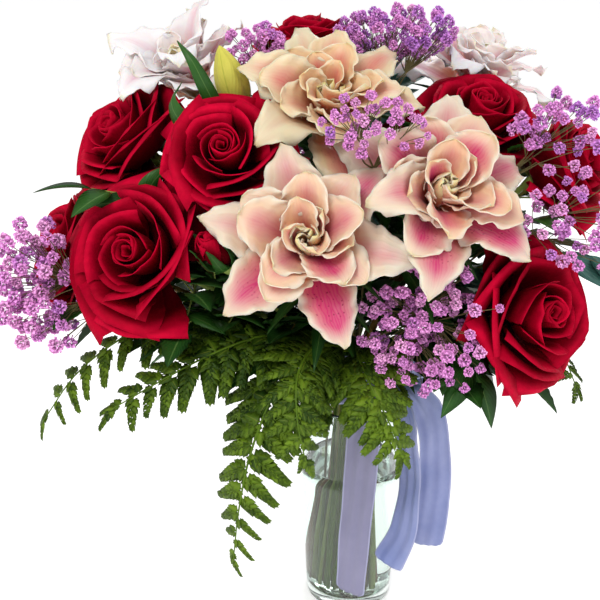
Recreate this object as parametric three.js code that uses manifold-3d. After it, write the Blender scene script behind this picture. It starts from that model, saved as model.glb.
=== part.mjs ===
// A mixed flower bouquet in a clear glass vase: red roses, double lilies, dyed gypsophila, leatherleaf
// fern and leafy twigs, tied with a satin ribbon just above the rim, with its stems standing in water.
// Millimetres, +Z up. The origin is the middle of the vase's flat foot, and -Y is the bouquet's front.

import * as THREE from "three";
import { mergeVertices } from "three/addons/utils/BufferGeometryUtils.js";
import Module from "manifold-3d";

const wasm = await Module();
wasm.setup();
const { Manifold } = wasm;

// Vase and water
const VASE_HEIGHT = 220;
const VASE_RIM_RADIUS = 52;
const VASE_FOOT_RADIUS = 43;
const GLASS_WALL = 4;
const GLASS_FLOOR = 10;
const WATER_LEVEL = 150;
const ROUND_SIDES = 22;
const BAND_SIDES = 16;
const HEART_SIDES = 5;

// Stems, from their feet in the vase to the tie and on to what they carry
const GAP = 0.4;
const BLOOM_BASE = -0.9;
const GOLDEN_ANGLE = Math.PI * (3 - Math.sqrt(5));
const TOLERANCE = 0.12;
const TIE_BOTTOM = 232;
const TIE_TOP = 262;
const TIE_RADIUS = 31;
const FEET_SPREAD = 1.14;
const STEM_TWIST = THREE.MathUtils.degToRad(38);
const FREE_POINTS = 3;
const STEM_SIDES = { rose: 4, bud: 4, lily: 5, fern: 4, spray: 3, twig: 4 };
const STEM_CLEARANCE = 1.2;
const SETTLE_ROUNDS = 300;
const STEM_RADIUS = { rose: 3, bud: 1.8, lily: 3.8, fern: 1.8, spray: 1.5, twig: 1.9 };

// Blades
const PETAL_THICKNESS = 0.9;
const ROOT_CROSSING = 3;
const LEAF_THICKNESS = 0.8;
const TWIGLET_RADIUS = 0.7;

// Satin ribbon
const RIBBON_WIDTH = 31;
const RIBBON_THICKNESS = 0.8;
const RIBBON_CELLS = 5;

const vec = (x, y, z) => new THREE.Vector3(x, y, z);
const radians = THREE.MathUtils.degToRad;

function paint(color, roughness, extra = {}) {
  return new THREE.MeshStandardMaterial({ color, roughness, metalness: 0, ...extra });
}

const finish = {
  rose: paint(0x8c0614, 0.6),
  lily: paint(0xf0cdbb, 0.5),
  paleLily: paint(0xe9dde0, 0.5),
  lilyBud: paint(0xb9b83a, 0.5),
  gypsophila: paint(0xc071c4, 0.8),
  stem: paint(0x46652a, 0.6),
  fern: paint(0x2f5a1c, 0.6),
  leaf: paint(0x24502a, 0.45),
  glass: paint(0xdff0ee, 0.05, { transparent: true, opacity: 0.3 }),
  water: paint(0xd6e6de, 0.05, { transparent: true, opacity: 0.3 }),
  ribbon: paint(0x9a9cc8, 0.4),
};

// What the vase holds. A centre is the middle of the bloom and facing is where it looks; turn rotates its
// petals. The front flowers come first, because those behind give way to them.
const ROSES = [
  { name: "rose_left_front", centre: [-176, -112, 394], facing: [-0.34, -0.82, 0.46], radius: 56,
    turn: 20 },
  { name: "rose_right_front", centre: [142, -102, 341], facing: [0.56, -0.77, 0.3], radius: 55, turn: 65 },
  { name: "rose_left_inner", centre: [-108, -92, 470], facing: [-0.12, -0.8, 0.58], radius: 47, turn: 0 },
  { name: "rose_left_high", centre: [-200, -22, 472], facing: [-0.6, -0.42, 0.67], radius: 48, turn: 40 },
  { name: "rose_right_high", centre: [108, 8, 486], facing: [0.12, -0.52, 0.84], radius: 46, turn: 10 },
  { name: "rose_far_right", centre: [174, -26, 448], facing: [0.66, -0.48, 0.58], radius: 50, turn: 50 },
  { name: "rose_far_left", centre: [-254, -26, 374], facing: [-0.82, -0.4, 0.4], radius: 43, turn: 15 },
  { name: "rose_top_back", centre: [-44, 88, 542], facing: [-0.1, 0, 0.99], radius: 45, turn: 30 },
  { name: "rose_back_right", centre: [78, 128, 430], facing: [0.4, 0.8, 0.44], radius: 47, turn: 5 },
  { name: "rose_back_left", centre: [-128, 104, 428], facing: [-0.55, 0.74, 0.4], radius: 47, turn: 55 },
];

const LILIES = [
  { name: "lily_front", centre: [-44, -150, 416], facing: [-0.05, -0.86, 0.5], radius: 73, turn: -74 },
  { name: "lily_right", centre: [56, -120, 446], facing: [0.2, -0.78, 0.6], radius: 79, turn: 16 },
  { name: "lily_top", centre: [-28, -56, 504], facing: [0.02, -0.66, 0.75], radius: 76, turn: 47 },
  { name: "lily_left_back", centre: [-150, 24, 520], facing: [-0.3, -0.4, 0.87], radius: 78, turn: 20,
    pale: true },
  { name: "lily_right_back", centre: [120, 92, 518], facing: [0.25, -0.2, 0.95], radius: 74, turn: 5,
    pale: true },
];

const BUDS = [
  { name: "rose_bud", centre: [-116, -128, 402], facing: [-0.4, -0.5, 0.76], length: 36, radius: 11 },
  { name: "lily_bud", centre: [-106, -40, 520], facing: [-0.25, -0.35, 0.9], length: 62, radius: 14 },
];

// Fern fronds: the rachis runs through these points, and pinna is the longest pinna's length.
const FERNS = [
  { name: "fern_front_low", pinna: 48, path: [[-22, -50, 292], [-60, -104, 292], [-88, -136, 240],
    [-100, -146, 188], [-106, -148, 138]] },
  { name: "fern_front_right", pinna: 44, path: [[4, -52, 290], [-2, -102, 304], [8, -134, 288],
    [22, -144, 262], [32, -148, 238]] },
  { name: "fern_front_left", pinna: 48, path: [[-30, -44, 296], [-84, -96, 318], [-124, -122, 312],
    [-164, -140, 296], [-196, -150, 280]] },
  { name: "fern_left", pinna: 36, path: [[-44, -20, 296], [-130, -52, 322], [-190, -66, 312],
    [-242, -72, 276], [-276, -74, 230]] },
  { name: "fern_front_middle", pinna: 44, path: [[-12, -44, 296], [-36, -96, 312], [-52, -142, 304],
    [-52, -166, 276], [-46, -172, 246]] },
  { name: "fern_right", pinna: 38, path: [[40, -14, 296], [100, -30, 318], [148, -34, 308],
    [186, -32, 278], [206, -28, 240]] },
  { name: "fern_back", pinna: 46, path: [[4, 44, 296], [16, 96, 322], [22, 142, 318], [24, 178, 284],
    [24, 194, 240]] },
  { name: "fern_back_left", pinna: 42, path: [[-36, 34, 296], [-92, 76, 320], [-142, 108, 310],
    [-180, 128, 276], [-204, 140, 232]] },
];

// Gypsophila sprays: heads fill a cloud of this middle and these half sizes.
const SPRAYS = [
  { name: "gypsophila_left", crown: [-196, -66, 338], cloud: [-266, -88, 362], size: [34, 26, 58],
    heads: 11 },
  { name: "gypsophila_top", crown: [20, 0, 490], cloud: [36, 28, 552], size: [56, 38, 22], heads: 12 },
  { name: "gypsophila_over_lily", crown: [6, -112, 462], cloud: [6, -134, 500], size: [44, 12, 24],
    heads: 10, overLilies: true },
  { name: "gypsophila_right_high", crown: [120, -50, 440], cloud: [158, -84, 486], size: [38, 22, 34],
    heads: 9 },
  { name: "gypsophila_right", crown: [120, -66, 400], cloud: [172, -102, 420], size: [42, 18, 36],
    heads: 10 },
  { name: "gypsophila_low", crown: [34, -64, 330], cloud: [52, -130, 344], size: [48, 30, 52], heads: 14 },
  { name: "gypsophila_left_high", crown: [-78, 6, 500], cloud: [-80, -6, 544], size: [36, 16, 18],
    heads: 7, overLilies: true },
  { name: "gypsophila_back", crown: [-20, 96, 400], cloud: [-24, 148, 440], size: [66, 34, 44], heads: 10 },
];

// Leafy twigs: the stem runs on through these points, with pointed oval leaves of this length.
const TWIGS = [
  { name: "leaves_left", leaf: 58, path: [[-40, -20, 300], [-120, -60, 356], [-176, -84, 430],
    [-214, -92, 442]] },
  { name: "leaves_right", leaf: 58, path: [[38, -40, 292], [66, -72, 302], [84, -92, 294],
    [92, -100, 276]] },
  { name: "leaves_far_right", leaf: 54, path: [[44, 4, 300], [118, -8, 352], [180, -40, 372],
    [224, -52, 366]] },
  { name: "leaves_back", leaf: 62, path: [[10, 34, 300], [6, 76, 380], [10, 96, 450], [30, 86, 500]] },
];

// Joins and cuts

function solidFromArrays(positions, triangles) {
  const mesh = { numProp: 3, vertProperties: new Float32Array(positions),
    triVerts: new Uint32Array(triangles) };
  return new Manifold(new wasm.Mesh(mesh));
}

function solidFromGeometry(geometry, frame = new THREE.Matrix4()) {
  const bare = geometry.clone().applyMatrix4(frame);
  bare.deleteAttribute("normal");
  bare.deleteAttribute("uv");
  const merged = mergeVertices(bare, 1e-3);
  return solidFromArrays(merged.getAttribute("position").array, merged.index.array);
}

function meshOf(name, solid, material) {
  const { numProp, numVert, vertProperties, triVerts } = solid.getMesh();
  const positions = new Float32Array(numVert * 3);
  for (let i = 0; i < numVert; i++) positions.set(vertProperties.subarray(i * numProp, i * numProp + 3),
    i * 3);
  const geometry = new THREE.BufferGeometry();
  geometry.setAttribute("position", new THREE.BufferAttribute(positions, 3));
  geometry.setIndex(new THREE.BufferAttribute(new Uint32Array(triVerts), 1));
  const mesh = new THREE.Mesh(geometry, material);
  mesh.name = name;
  return mesh;
}

// The union as one body, its shortest edges closed: a scrap that doesn't hold to it is dropped.
function fuse(solids) {
  const pieces = Manifold.union(solids).simplify(TOLERANCE).decompose();
  return pieces.reduce((best, piece) => (piece.volume() > best.volume() ? piece : best));
}

function boxesApart(a, b, reach) {
  return [0, 1, 2].some((i) => a.min[i] - reach > b.max[i] || b.min[i] - reach > a.max[i]);
}

// Everything placed so far, which later blades and heads must stay clear of.
const placed = [];

function place(name, solid) {
  placed.push({ name, solid, box: solid.boundingBox() });
  return solid;
}

function isClear(solid, except = []) {
  const box = solid.boundingBox();
  return placed.every((other) => {
    if (except.includes(other.name) || boxesApart(box, other.box, GAP)) return true;
    return solid.minGap(other.solid, GAP) >= GAP;
  });
}

// Frames, blades, tubes

// A frame at a point whose Z looks along axis, with X level and Y up.
function frameAt(origin, axis) {
  const z = axis.clone().normalize();
  const x = vec(0, 0, 1).cross(z);
  if (x.length() < 1e-3) x.set(1, 0, 0);
  x.normalize();
  const y = z.clone().cross(x);
  return new THREE.Matrix4().makeBasis(x, y, z).setPosition(origin);
}

// A closed plate between two like faces, given its triangles and the loop of points round its edge.
function plate(front, back, faces, rim) {
  const count = front.length;
  const triangles = [...faces];
  for (let i = 0; i < faces.length; i += 3) {
    triangles.push(faces[i + 2] + count, faces[i + 1] + count, faces[i] + count);
  }
  rim.forEach((p, i) => {
    const q = rim[(i + 1) % rim.length];
    triangles.push(q, p, p + count, q, p + count, q + count);
  });
  return solidFromArrays([...front, ...back].flatMap((point) => point.toArray()), triangles);
}

// A thin blade about a middle surface(u, v), u from -1 to 1 across and v from 0 to 1 along it. Each of its
// rows has its own number of cells across, so that a blade can start and end narrow.
function blade(surface, cells, thickness) {
  const step = 1e-3;
  const [front, back, rows, faces] = [[], [], [], []];
  cells.forEach((across, row) => {
    const v = row / (cells.length - 1);
    rows.push([]);
    for (let i = 0; i <= across; i++) {
      const u = -1 + (2 * i) / across;
      const sideways = surface(Math.min(u + step, 1), v).sub(surface(Math.max(u - step, -1), v));
      const onwards = surface(u, Math.min(v + step, 1)).sub(surface(u, Math.max(v - step, 0)));
      const offset = sideways.cross(onwards).normalize().multiplyScalar(thickness / 2);
      rows[row].push(front.length);
      front.push(surface(u, v).add(offset));
      back.push(surface(u, v).sub(offset));
    }
  });
  for (let row = 0; row < rows.length - 1; row++) {
    const [lower, upper] = [rows[row], rows[row + 1]];
    const [m, n] = [lower.length - 1, upper.length - 1];
    let [i, j] = [0, 0];
    while (i < m || j < n) {
      if (j === n || (i < m && (i + 0.5) / m <= (j + 0.5) / n)) {
        faces.push(lower[i], lower[i + 1], upper[j]);
        i++;
      } else {
        faces.push(lower[i], upper[j + 1], upper[j]);
        j++;
      }
    }
  }
  const rightSide = rows.slice(1, -1).map((row) => row.at(-1));
  const leftSide = rows.slice(1, -1).map((row) => row[0]).reverse();
  return plate(front, back, faces, [...rows[0], ...rightSide, ...rows.at(-1).reverse(), ...leftSide]);
}

// A closed tube through points with a radius at each, its section turning no more than its path does.
function tube(points, radii, sides) {
  const last = points.length - 1;
  const first = points[1].clone().sub(points[0]);
  const side = Math.abs(first.x) < Math.abs(first.z) ? vec(1, 0, 0) : vec(0, 0, 1);
  const positions = [];
  points.forEach((point, i) => {
    const tangent = points[Math.min(i + 1, last)].clone().sub(points[Math.max(i - 1, 0)]).normalize();
    side.addScaledVector(tangent, -side.dot(tangent)).normalize();
    const across = tangent.clone().cross(side);
    for (let k = 0; k < sides; k++) {
      const angle = (2 * Math.PI * k) / sides;
      const corner = point.clone().addScaledVector(side, radii[i] * Math.cos(angle));
      positions.push(...corner.addScaledVector(across, radii[i] * Math.sin(angle)));
    }
  });
  const triangles = [];
  for (let i = 0; i < last; i++) {
    for (let k = 0; k < sides; k++) {
      const [a, b] = [i * sides + k, i * sides + ((k + 1) % sides)];
      triangles.push(a, b, b + sides, a, b + sides, a + sides);
    }
  }
  for (let k = 1; k < sides - 1; k++) {
    triangles.push(0, k + 1, k, last * sides, last * sides + k, last * sides + k + 1);
  }
  return solidFromArrays(positions, triangles);
}

function turned(profile, sides, frame) {
  const points = profile.map(([radius, height]) => new THREE.Vector2(radius, height));
  const geometry = new THREE.LatheGeometry(points, sides);
  const upright = new THREE.Matrix4().makeRotationX(Math.PI / 2);
  return solidFromGeometry(geometry, new THREE.Matrix4().copy(frame).multiply(upright));
}

function bezier(points, t) {
  const s = 1 - t;
  const weights = [s * s * s, 3 * s * s * t, 3 * s * t * t, t * t * t];
  return [0, 1].map((axis) => points.reduce((sum, point, i) => sum + weights[i] * point[axis], 0));
}

function seededRandom(seed) {
  let state = seed;
  return () => {
    state = (state + 0x6d2b79f5) | 0;
    let t = Math.imul(state ^ (state >>> 15), 1 | state);
    t = (t + Math.imul(t ^ (t >>> 7), 61 | t)) ^ t;
    return ((t ^ (t >>> 14)) >>> 0) / 4294967296;
  };
}

// Petals

// How wide a petal is, as a share of its greatest half width: a rose's is rounded and a lily's pointed.
const rounded = (v) => 0.18 + 0.82 * Math.sin(Math.min(1, v * 1.15) * Math.PI * 0.5) ** 1.4;
const pointed = (v) => 0.14 * (1 - v) + 0.12 * v + 0.86 * Math.sin(Math.PI * v ** 1.15) ** 1.2;

// Petal layers from the heart outwards. A profile is the petal's middle line as four control points of
// radius and height over the receptacle, for a rose of 50 mm and a lily of 75 mm radius. Every petal is
// tilted, one side tucked under its neighbour, and its shoulders end lower by the share in round.
const ROSE_LAYERS = [
  { count: 2, turn: 10, profile: [[6, 12], [17, 14], [17, 40], [14, 50]], halfWidth: 20, tilt: 0.2,
    roll: 0 },
  { count: 3, turn: 45, profile: [[6, 7], [28, 3], [28, 36], [31, 48]], halfWidth: 27, tilt: 0.14,
    roll: 2 },
  { count: 4, turn: 0, profile: [[6, 2], [36, -8], [43, 28], [54, 35]], halfWidth: 36, tilt: 0.12,
    roll: 4 },
].map((layer, i) => ({ ...layer, width: rounded, round: 0.24, cells: i < 2 ? [1, 2, 2] : [1, 2, 2, 2] }));
const ROSE_HEART = [[0, BLOOM_BASE], [6, BLOOM_BASE], [10, 2], [10, 14], [7, 38], [3, 50], [0, 50]];

const LILY_LAYERS = [
  { count: 3, turn: 20, profile: [[5, 14], [8, 32], [12, 46], [24, 54]], halfWidth: 14, tilt: 0.3,
    roll: 0 },
  { count: 4, turn: 36, profile: [[5, 8], [12, 28], [30, 50], [54, 52]], halfWidth: 21, tilt: 0.25,
    roll: 0 },
  { count: 6, turn: 0, profile: [[5, 2], [24, 14], [48, 40], [77, 25]], halfWidth: 24, tilt: 0.22,
    roll: 0 },
].map((layer, i) => ({ ...layer, width: pointed, round: 0, cells: i < 2 ? [1, 2, 1] : [1, 2, 2, 1] }));
const LILY_HEART = [[0, BLOOM_BASE], [5, BLOOM_BASE], [9, 2], [9, 15], [4, 42], [0, 44]];

// The profile tipped towards the bloom's axis by lift and shortened by reach.
function profilePoint(profile, along, lift, reach) {
  const [radius, height] = bezier(profile, along * reach);
  const [cos, sin] = [Math.cos(lift), Math.sin(lift)];
  return new THREE.Vector2(Math.max(radius * cos - height * sin, 1), height * cos + radius * sin);
}

function petalSurface(layer, angle, scale, lift, reach) {
  return (u, v) => {
    const along = v * (1 - layer.round * u * u);
    const middle = profilePoint(layer.profile, along, lift, reach);
    const ahead = profilePoint(layer.profile, along + 0.01, lift, reach).sub(middle).normalize();
    const halfWidth = layer.halfWidth * reach * layer.width(v);
    const turn = angle + (u * halfWidth) / Math.max(middle.x, 9);
    const lean = layer.tilt * u * (0.4 * layer.halfWidth + 0.6 * halfWidth);
    const outwards = lean + layer.roll * Math.abs(u) ** 3 * v * v;
    const radius = middle.x + ahead.y * outwards;
    const height = middle.y - ahead.x * outwards;
    return vec(radius * Math.cos(turn), radius * Math.sin(turn), height).multiplyScalar(scale);
  };
}

// Tries a petal as it grows, then tipped inwards or shortened, until it is clear of all that is placed,
// and where it can of its own bloom's other petals.
function petalClear(makeSurface, frame, cells, siblings) {
  let fallback = null;
  for (const reach of [1, 0.86, 0.72]) {
    for (const lift of [0, 7, -7, 14, -14, 21, 28, 36, 44]) {
      const local = makeSurface(radians(lift), reach);
      const solid = blade((u, v) => local(u, v).applyMatrix4(frame), cells, PETAL_THICKNESS);
      if (!isClear(solid)) continue;
      if (siblings.every((other) => solid.intersect(other).volume() < ROOT_CROSSING)) return solid;
      fallback ??= solid;
    }
  }
  return fallback;
}

function bloomFrame(bloom, depth) {
  const axis = vec(...bloom.facing).normalize();
  return frameAt(vec(...bloom.centre).addScaledVector(axis, -depth), axis);
}

function roseFrame(rose) {
  return bloomFrame(rose, (28 * rose.radius) / 50);
}

function lilyFrame(lily) {
  return bloomFrame(lily, (28 * lily.radius) / 75);
}

function budFrame(bud) {
  return bloomFrame(bud, bud.length / 2);
}

function bloomSolid(bloom, frame, scale, layers, heart) {
  const profile = heart.map(([radius, height]) => [radius * scale, height * scale]);
  const petals = [turned(profile, HEART_SIDES, frame)];
  for (const layer of layers) {
    for (let k = 0; k < layer.count; k++) {
      const angle = radians(bloom.turn + layer.turn + (360 * k) / layer.count);
      const surface = (lift, reach) => petalSurface(layer, angle, scale, lift, reach);
      const made = petalClear(surface, frame, layer.cells, petals.slice(1));
      if (made) petals.push(made);
    }
  }
  return fuse(petals);
}

function roseSolid(rose) {
  return bloomSolid(rose, roseFrame(rose), rose.radius / 50, ROSE_LAYERS, ROSE_HEART);
}

function lilySolid(lily) {
  return bloomSolid(lily, lilyFrame(lily), lily.radius / 75, LILY_LAYERS, LILY_HEART);
}

function budSolid(bud) {
  const { length, radius } = bud;
  const profile = [
    [0, BLOOM_BASE],
    [0.6 * radius, BLOOM_BASE],
    [radius, 0.35 * length],
    [0.7 * radius, 0.72 * length],
    [0, length],
  ];
  return turned(profile, 6, budFrame(bud));
}

// Stems

// Where each stem has to arrive: the points of its end, with a radius at each, the direction in which it
// comes there, and the body of the bloom that other stems keep out of.
function stemRequests() {
  const underBloom = (bloom, kind, frame, calyx, bodyRadius) => ({
    name: bloom.name + "_stem",
    kind,
    axis: vec(...bloom.facing).normalize(),
    end: [-15, -5, BLOOM_BASE - GAP].map((height) => vec(0, 0, height).applyMatrix4(frame)),
    endRadii: [STEM_RADIUS[kind], calyx, calyx],
    body: { centre: vec(...bloom.centre), radius: bodyRadius },
  });
  const alongPath = (plant, kind) => {
    const end = plant.path.map((point) => vec(...point));
    const endRadii = end.map((_, i) => THREE.MathUtils.lerp(STEM_RADIUS[kind], 0.8, i / (end.length - 1)));
    const axis = end[1].clone().sub(end[0]).normalize().lerp(vec(0, 0, 1), 0.4).normalize();
    return { name: plant.name, kind, axis, end, endRadii, loose: true };
  };
  const toCrown = (spray) => {
    const crown = vec(...spray.crown);
    const axis = vec(...spray.cloud).sub(crown).normalize().lerp(vec(0, 0, 1), 0.3).normalize();
    const end = [crown, crown.clone().addScaledVector(axis, 4)];
    return { name: spray.name, kind: "spray", axis, end, endRadii: [2.2, 0.8] };
  };
  const requests = [
    ...ROSES.map((rose) => underBloom(rose, "rose", roseFrame(rose), 7, 0.86 * rose.radius)),
    ...LILIES.map((lily) => underBloom(lily, "lily", lilyFrame(lily), 6, 0.5 * lily.radius)),
    ...BUDS.map((bud) => underBloom(bud, "bud", budFrame(bud), 0.5 * bud.radius, 1.3 * bud.radius)),
    ...FERNS.map((fern) => alongPath(fern, "fern")),
    ...TWIGS.map((twig) => alongPath(twig, "twig")),
    ...SPRAYS.map(toCrown),
  ];
  return requests.map((request) => ({ ...request, radius: STEM_RADIUS[request.kind] }));
}

// Packs the stems in the tie's circle, each on the side its head leans to and the widest heads outermost.
function packTie(requests) {
  const spots = requests.map((request, i) => {
    const head = request.end[0];
    const lean = Math.atan2(Math.hypot(head.x, head.y), head.z - TIE_TOP + 40);
    const reach = TIE_RADIUS * Math.min(1, lean / radians(72));
    const angle = Math.atan2(head.y, head.x) + 0.01 * i;
    return new THREE.Vector2(Math.cos(angle), Math.sin(angle)).multiplyScalar(reach);
  });
  for (let round = 0; round < SETTLE_ROUNDS; round++) {
    spots.forEach((a, i) => {
      for (let j = i + 1; j < spots.length; j++) {
        const apart = spots[j].clone().sub(a);
        const short = requests[i].radius + requests[j].radius + STEM_CLEARANCE - apart.length();
        if (short <= 0) continue;
        apart.setLength(short / 2);
        a.sub(apart);
        spots[j].add(apart);
      }
    });
    spots.forEach((spot, i) => spot.clampLength(0, TIE_RADIUS - requests[i].radius));
  }
  return spots;
}

// The nearest points of two segments, as the share along each and the vector between them.
function betweenSegments(a0, a1, b0, b1) {
  const [u, v, w] = [a1.clone().sub(a0), b1.clone().sub(b0), a0.clone().sub(b0)];
  const [uu, uv, vv, uw, vw] = [u.dot(u), u.dot(v), v.dot(v), u.dot(w), v.dot(w)];
  const bottom = uu * vv - uv * uv;
  let s = bottom < 1e-9 ? 0.5 : THREE.MathUtils.clamp((uv * vw - vv * uw) / bottom, 0, 1);
  const t = THREE.MathUtils.clamp((uv * s + vw) / vv, 0, 1);
  s = THREE.MathUtils.clamp((uv * t - uw) / uu, 0, 1);
  return { s, t, apart: w.addScaledVector(u, s).addScaledVector(v, -t) };
}

// A first route: straight from its foot to the tie, then in an S to its end. Its free points, between
// the tie and the end, and all points of a loose end, have a home that they return to.
function startingRoute(request, spot) {
  const tie = vec(spot.x, spot.y, TIE_TOP);
  const foot = vec(spot.x, spot.y, 0).applyAxisAngle(vec(0, 0, 1), -STEM_TWIST).multiplyScalar(FEET_SPREAD);
  foot.z = GLASS_FLOOR + 2 * GAP;
  const rise = tie.clone().sub(foot).normalize();
  const length = request.end[0].distanceTo(tie);
  const curve = new THREE.CubicBezierCurve3(
    tie,
    tie.clone().addScaledVector(rise, 0.35 * length),
    request.end[0].clone().addScaledVector(request.axis, -0.35 * length),
    request.end[0],
  );
  const climb = curve.getPoints(FREE_POINTS + 1).slice(0, -1);
  const points = [foot, ...climb, ...request.end];
  const isFree = points.map((_, i) => i > 1 && (request.loose || i < 1 + climb.length));
  return { ...request, points, isFree, homes: points.map((point) => point.clone()) };
}

function pushRoutesApart(a, b) {
  const need = a.radius + b.radius + STEM_CLEARANCE;
  const push = (route, index, by, share) => {
    if (route.isFree[index]) route.points[index].addScaledVector(by, share);
  };
  for (let m = 1; m < a.points.length - 1; m++) {
    for (let n = 1; n < b.points.length - 1; n++) {
      const { s, t, apart } = betweenSegments(a.points[m], a.points[m + 1], b.points[n], b.points[n + 1]);
      const short = need - apart.length();
      if (short <= 0) continue;
      apart.setLength(0.5 * short);
      push(a, m, apart, 1 - s);
      push(a, m + 1, apart, s);
      push(b, n, apart, t - 1);
      push(b, n + 1, apart, -t);
    }
  }
}

// Bends the stems apart, and out of the bodies of blooms, above the tie.
function routeStems(requests) {
  const spots = packTie(requests);
  const routes = requests.map((request, i) => startingRoute(request, spots[i]));
  const bodies = routes.filter((route) => route.body);
  for (let round = 0; round < SETTLE_ROUNDS; round++) {
    routes.forEach((a, i) => routes.slice(i + 1).forEach((b) => pushRoutesApart(a, b)));
    for (const route of routes) {
      route.points.forEach((point, i) => {
        if (!route.isFree[i]) return;
        if (i < route.points.length - route.end.length) {
          point.lerp(route.points[i - 1].clone().add(route.points[i + 1]).multiplyScalar(0.5), 0.12);
        } else {
          point.lerp(route.homes[i], 0.04);
        }
        for (const { body, name } of bodies) {
          if (name === route.name) continue;
          const away = point.clone().sub(body.centre);
          const short = body.radius + route.radius - away.length();
          if (short > 0) point.addScaledVector(away.normalize(), 0.5 * short);
        }
      });
    }
  }
  return new Map(routes.map((route) => [route.name, route]));
}

function stemTube(route) {
  const plain = route.points.length - route.end.length;
  const radii = route.points.map((_, i) => (i < plain ? route.radius : route.endRadii[i - plain]));
  return tube(route.points, radii, STEM_SIDES[route.kind]);
}

// Foliage

// A frame on a line of points: X runs along it and turns evenly from point to point, Z is its upper side,
// and t goes from 0 to 1 over it.
function lineFrame(points, t, roll = 0) {
  const last = points.length - 1;
  const before = Math.min(Math.floor(t * last), last - 1);
  const share = t * last - before;
  const course = (i) => points[Math.min(i + 1, last)].clone().sub(points[Math.max(i - 1, 0)]).normalize();
  const x = course(before).lerp(course(before + 1), share).normalize();
  const y = vec(0, 0, 1).cross(x).normalize().applyAxisAngle(x, roll);
  const origin = points[before].clone().lerp(points[before + 1], share);
  return new THREE.Matrix4().makeBasis(x, y, x.clone().cross(y)).setPosition(origin);
}

// Half of a pinna's edge: teeth whose tips stand out to its half width, with cuts almost to its rib.
function toothedEdge(length, halfWidth, teeth) {
  const pitch = length / (teeth + 0.6);
  const edge = [];
  for (let i = 0; i < teeth; i++) {
    const out = halfWidth * Math.sin(Math.PI * (0.35 + (0.55 * i) / teeth));
    if (i > 0) edge.push([(i + 0.25) * pitch, 0.32 * out]);
    edge.push([(i + 0.9) * pitch, out]);
  }
  return edge;
}

// A pinna's outline in its own frame, from the rib out along one edge to its tip and back.
function pinnaOutline(length, halfWidth, teeth) {
  const edge = toothedEdge(length, halfWidth, teeth);
  return [...edge.map(([x, y]) => [x, -y]), [length, 0], ...edge.reverse()];
}

const PINNA_ANGLE = radians(58);
const RIB_HALF_WIDTH = 1.3;
const FERN_TEETH = [2, 2, 2, 1, 1];
const PINNAE_START = 0.22;
const PINNAE_SHARE = 0.7;

// Whether a pinna of this outline, drooping as given, is clear of all that is placed.
function pinnaFits(outline, frame, droop, name) {
  const shape = [[0, -1], ...outline, [0, 1]];
  const face = (offset) => shape.map(([x, y]) => vec(x, y, droop(x) + offset).applyMatrix4(frame));
  const flat = shape.map(([x, y]) => new THREE.Vector2(x, y));
  const faces = THREE.ShapeUtils.triangulateShape(flat, []).flat();
  const rim = shape.map((_, i) => i);
  return isClear(plate(face(LEAF_THICKNESS / 2), face(-LEAF_THICKNESS / 2), faces, rim), [name]);
}

// A frond is one thin arched blade whose outline is cut to the rib between its pinnae. It is drawn flat
// along X, one pair of pinnae after the other, so that no face reaches far along its arch. Each of its
// points also has its true place, in the frame of its pinna, which droops.
function frondSolid(fern, rachis) {
  const [flat, front, back, faces] = [[], [], [], []];
  const reach = rachis.slice(1).reduce((sum, point, i) => sum + point.distanceTo(rachis[i]), 0);
  const step = PINNAE_SHARE / FERN_TEETH.length;
  const put = (flatPoint, frame, [x, y], z) => {
    front.push(vec(x, y, z + LEAF_THICKNESS / 2).applyMatrix4(frame));
    back.push(vec(x, y, z - LEAF_THICKNESS / 2).applyMatrix4(frame));
    return flat.push(new THREE.Vector2(...flatPoint)) - 1;
  };
  const ribAt = (t) => [-RIB_HALF_WIDTH, RIB_HALF_WIDTH].map((y) => put([t * reach, y],
    lineFrame(rachis, t), [0, y], 0));
  const pinnaAt = (t, side, teeth) => {
    const turn = side * PINNA_ANGLE;
    const frame = lineFrame(rachis, t).multiply(new THREE.Matrix4().makeRotationZ(turn));
    const full = (side === 0 ? 0.5 : 1.2 - 0.8 * t) * fern.pinna;
    for (const share of [1, 0.8, 0.6]) {
      const length = full * share;
      const outline = pinnaOutline(length, Math.min(0.27 * full, 0.4 * step * reach) * share, teeth);
      const droop = (x) => (-0.22 * x * x) / length;
      if (!pinnaFits(outline, frame, droop, fern.name)) continue;
      return outline.map(([x, y]) => put([t * reach + x * Math.cos(turn) - y * Math.sin(turn),
        x * Math.sin(turn) + y * Math.cos(turn)], frame, [x, y], droop(x)));
    }
    return [];
  };
  const fill = (loop) => {
    const made = THREE.ShapeUtils.triangulateShape(loop.map((i) => flat[i]), []);
    faces.push(...made.flat().map((i) => loop[i]));
  };
  const [right, left] = [[], []];
  let rib = ribAt(PINNAE_START);
  FERN_TEETH.forEach((teeth, pair) => {
    const t = PINNAE_START + pair * step;
    const next = ribAt(t + step);
    const near = pinnaAt(t + 0.3 * step, -1, teeth);
    const far = pinnaAt(t + 0.7 * step, 1, teeth);
    fill([rib[0], ...near, next[0], next[1], ...far, rib[1]]);
    right.push(rib[0], ...near);
    left.unshift(...far, rib[1]);
    rib = next;
  });
  const tip = pinnaAt(0.99, 0, 1);
  fill([rib[0], ...tip, rib[1]]);
  return plate(front, back, faces, [...right, rib[0], ...tip, rib[1], ...left]);
}

function fernSolid(fern, route) {
  const rachis = route.points.slice(-fern.path.length);
  return fuse([stemTube({ ...route, points: route.points.slice(0, -3) }), frondSolid(fern, rachis)]);
}

// A pointed oval leaf, folded a little along its midrib and arching over.
function leafSurface(length) {
  const greatest = 0.21 * length;
  return (u, v) => {
    const halfWidth = greatest * (0.1 * (1 - v) + 0.03 + 0.93 * Math.sin(Math.PI * v ** 0.85));
    return vec(length * v - 1, u * halfWidth, 0.16 * Math.abs(u) * halfWidth - 0.28 * length * v * v);
  };
}

const LEAF_PAIRS = 2;
const LEAF_TRIES = [[1, 52], [1, 34], [0.8, 52], [0.8, 30], [0.6, 40]];

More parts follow.
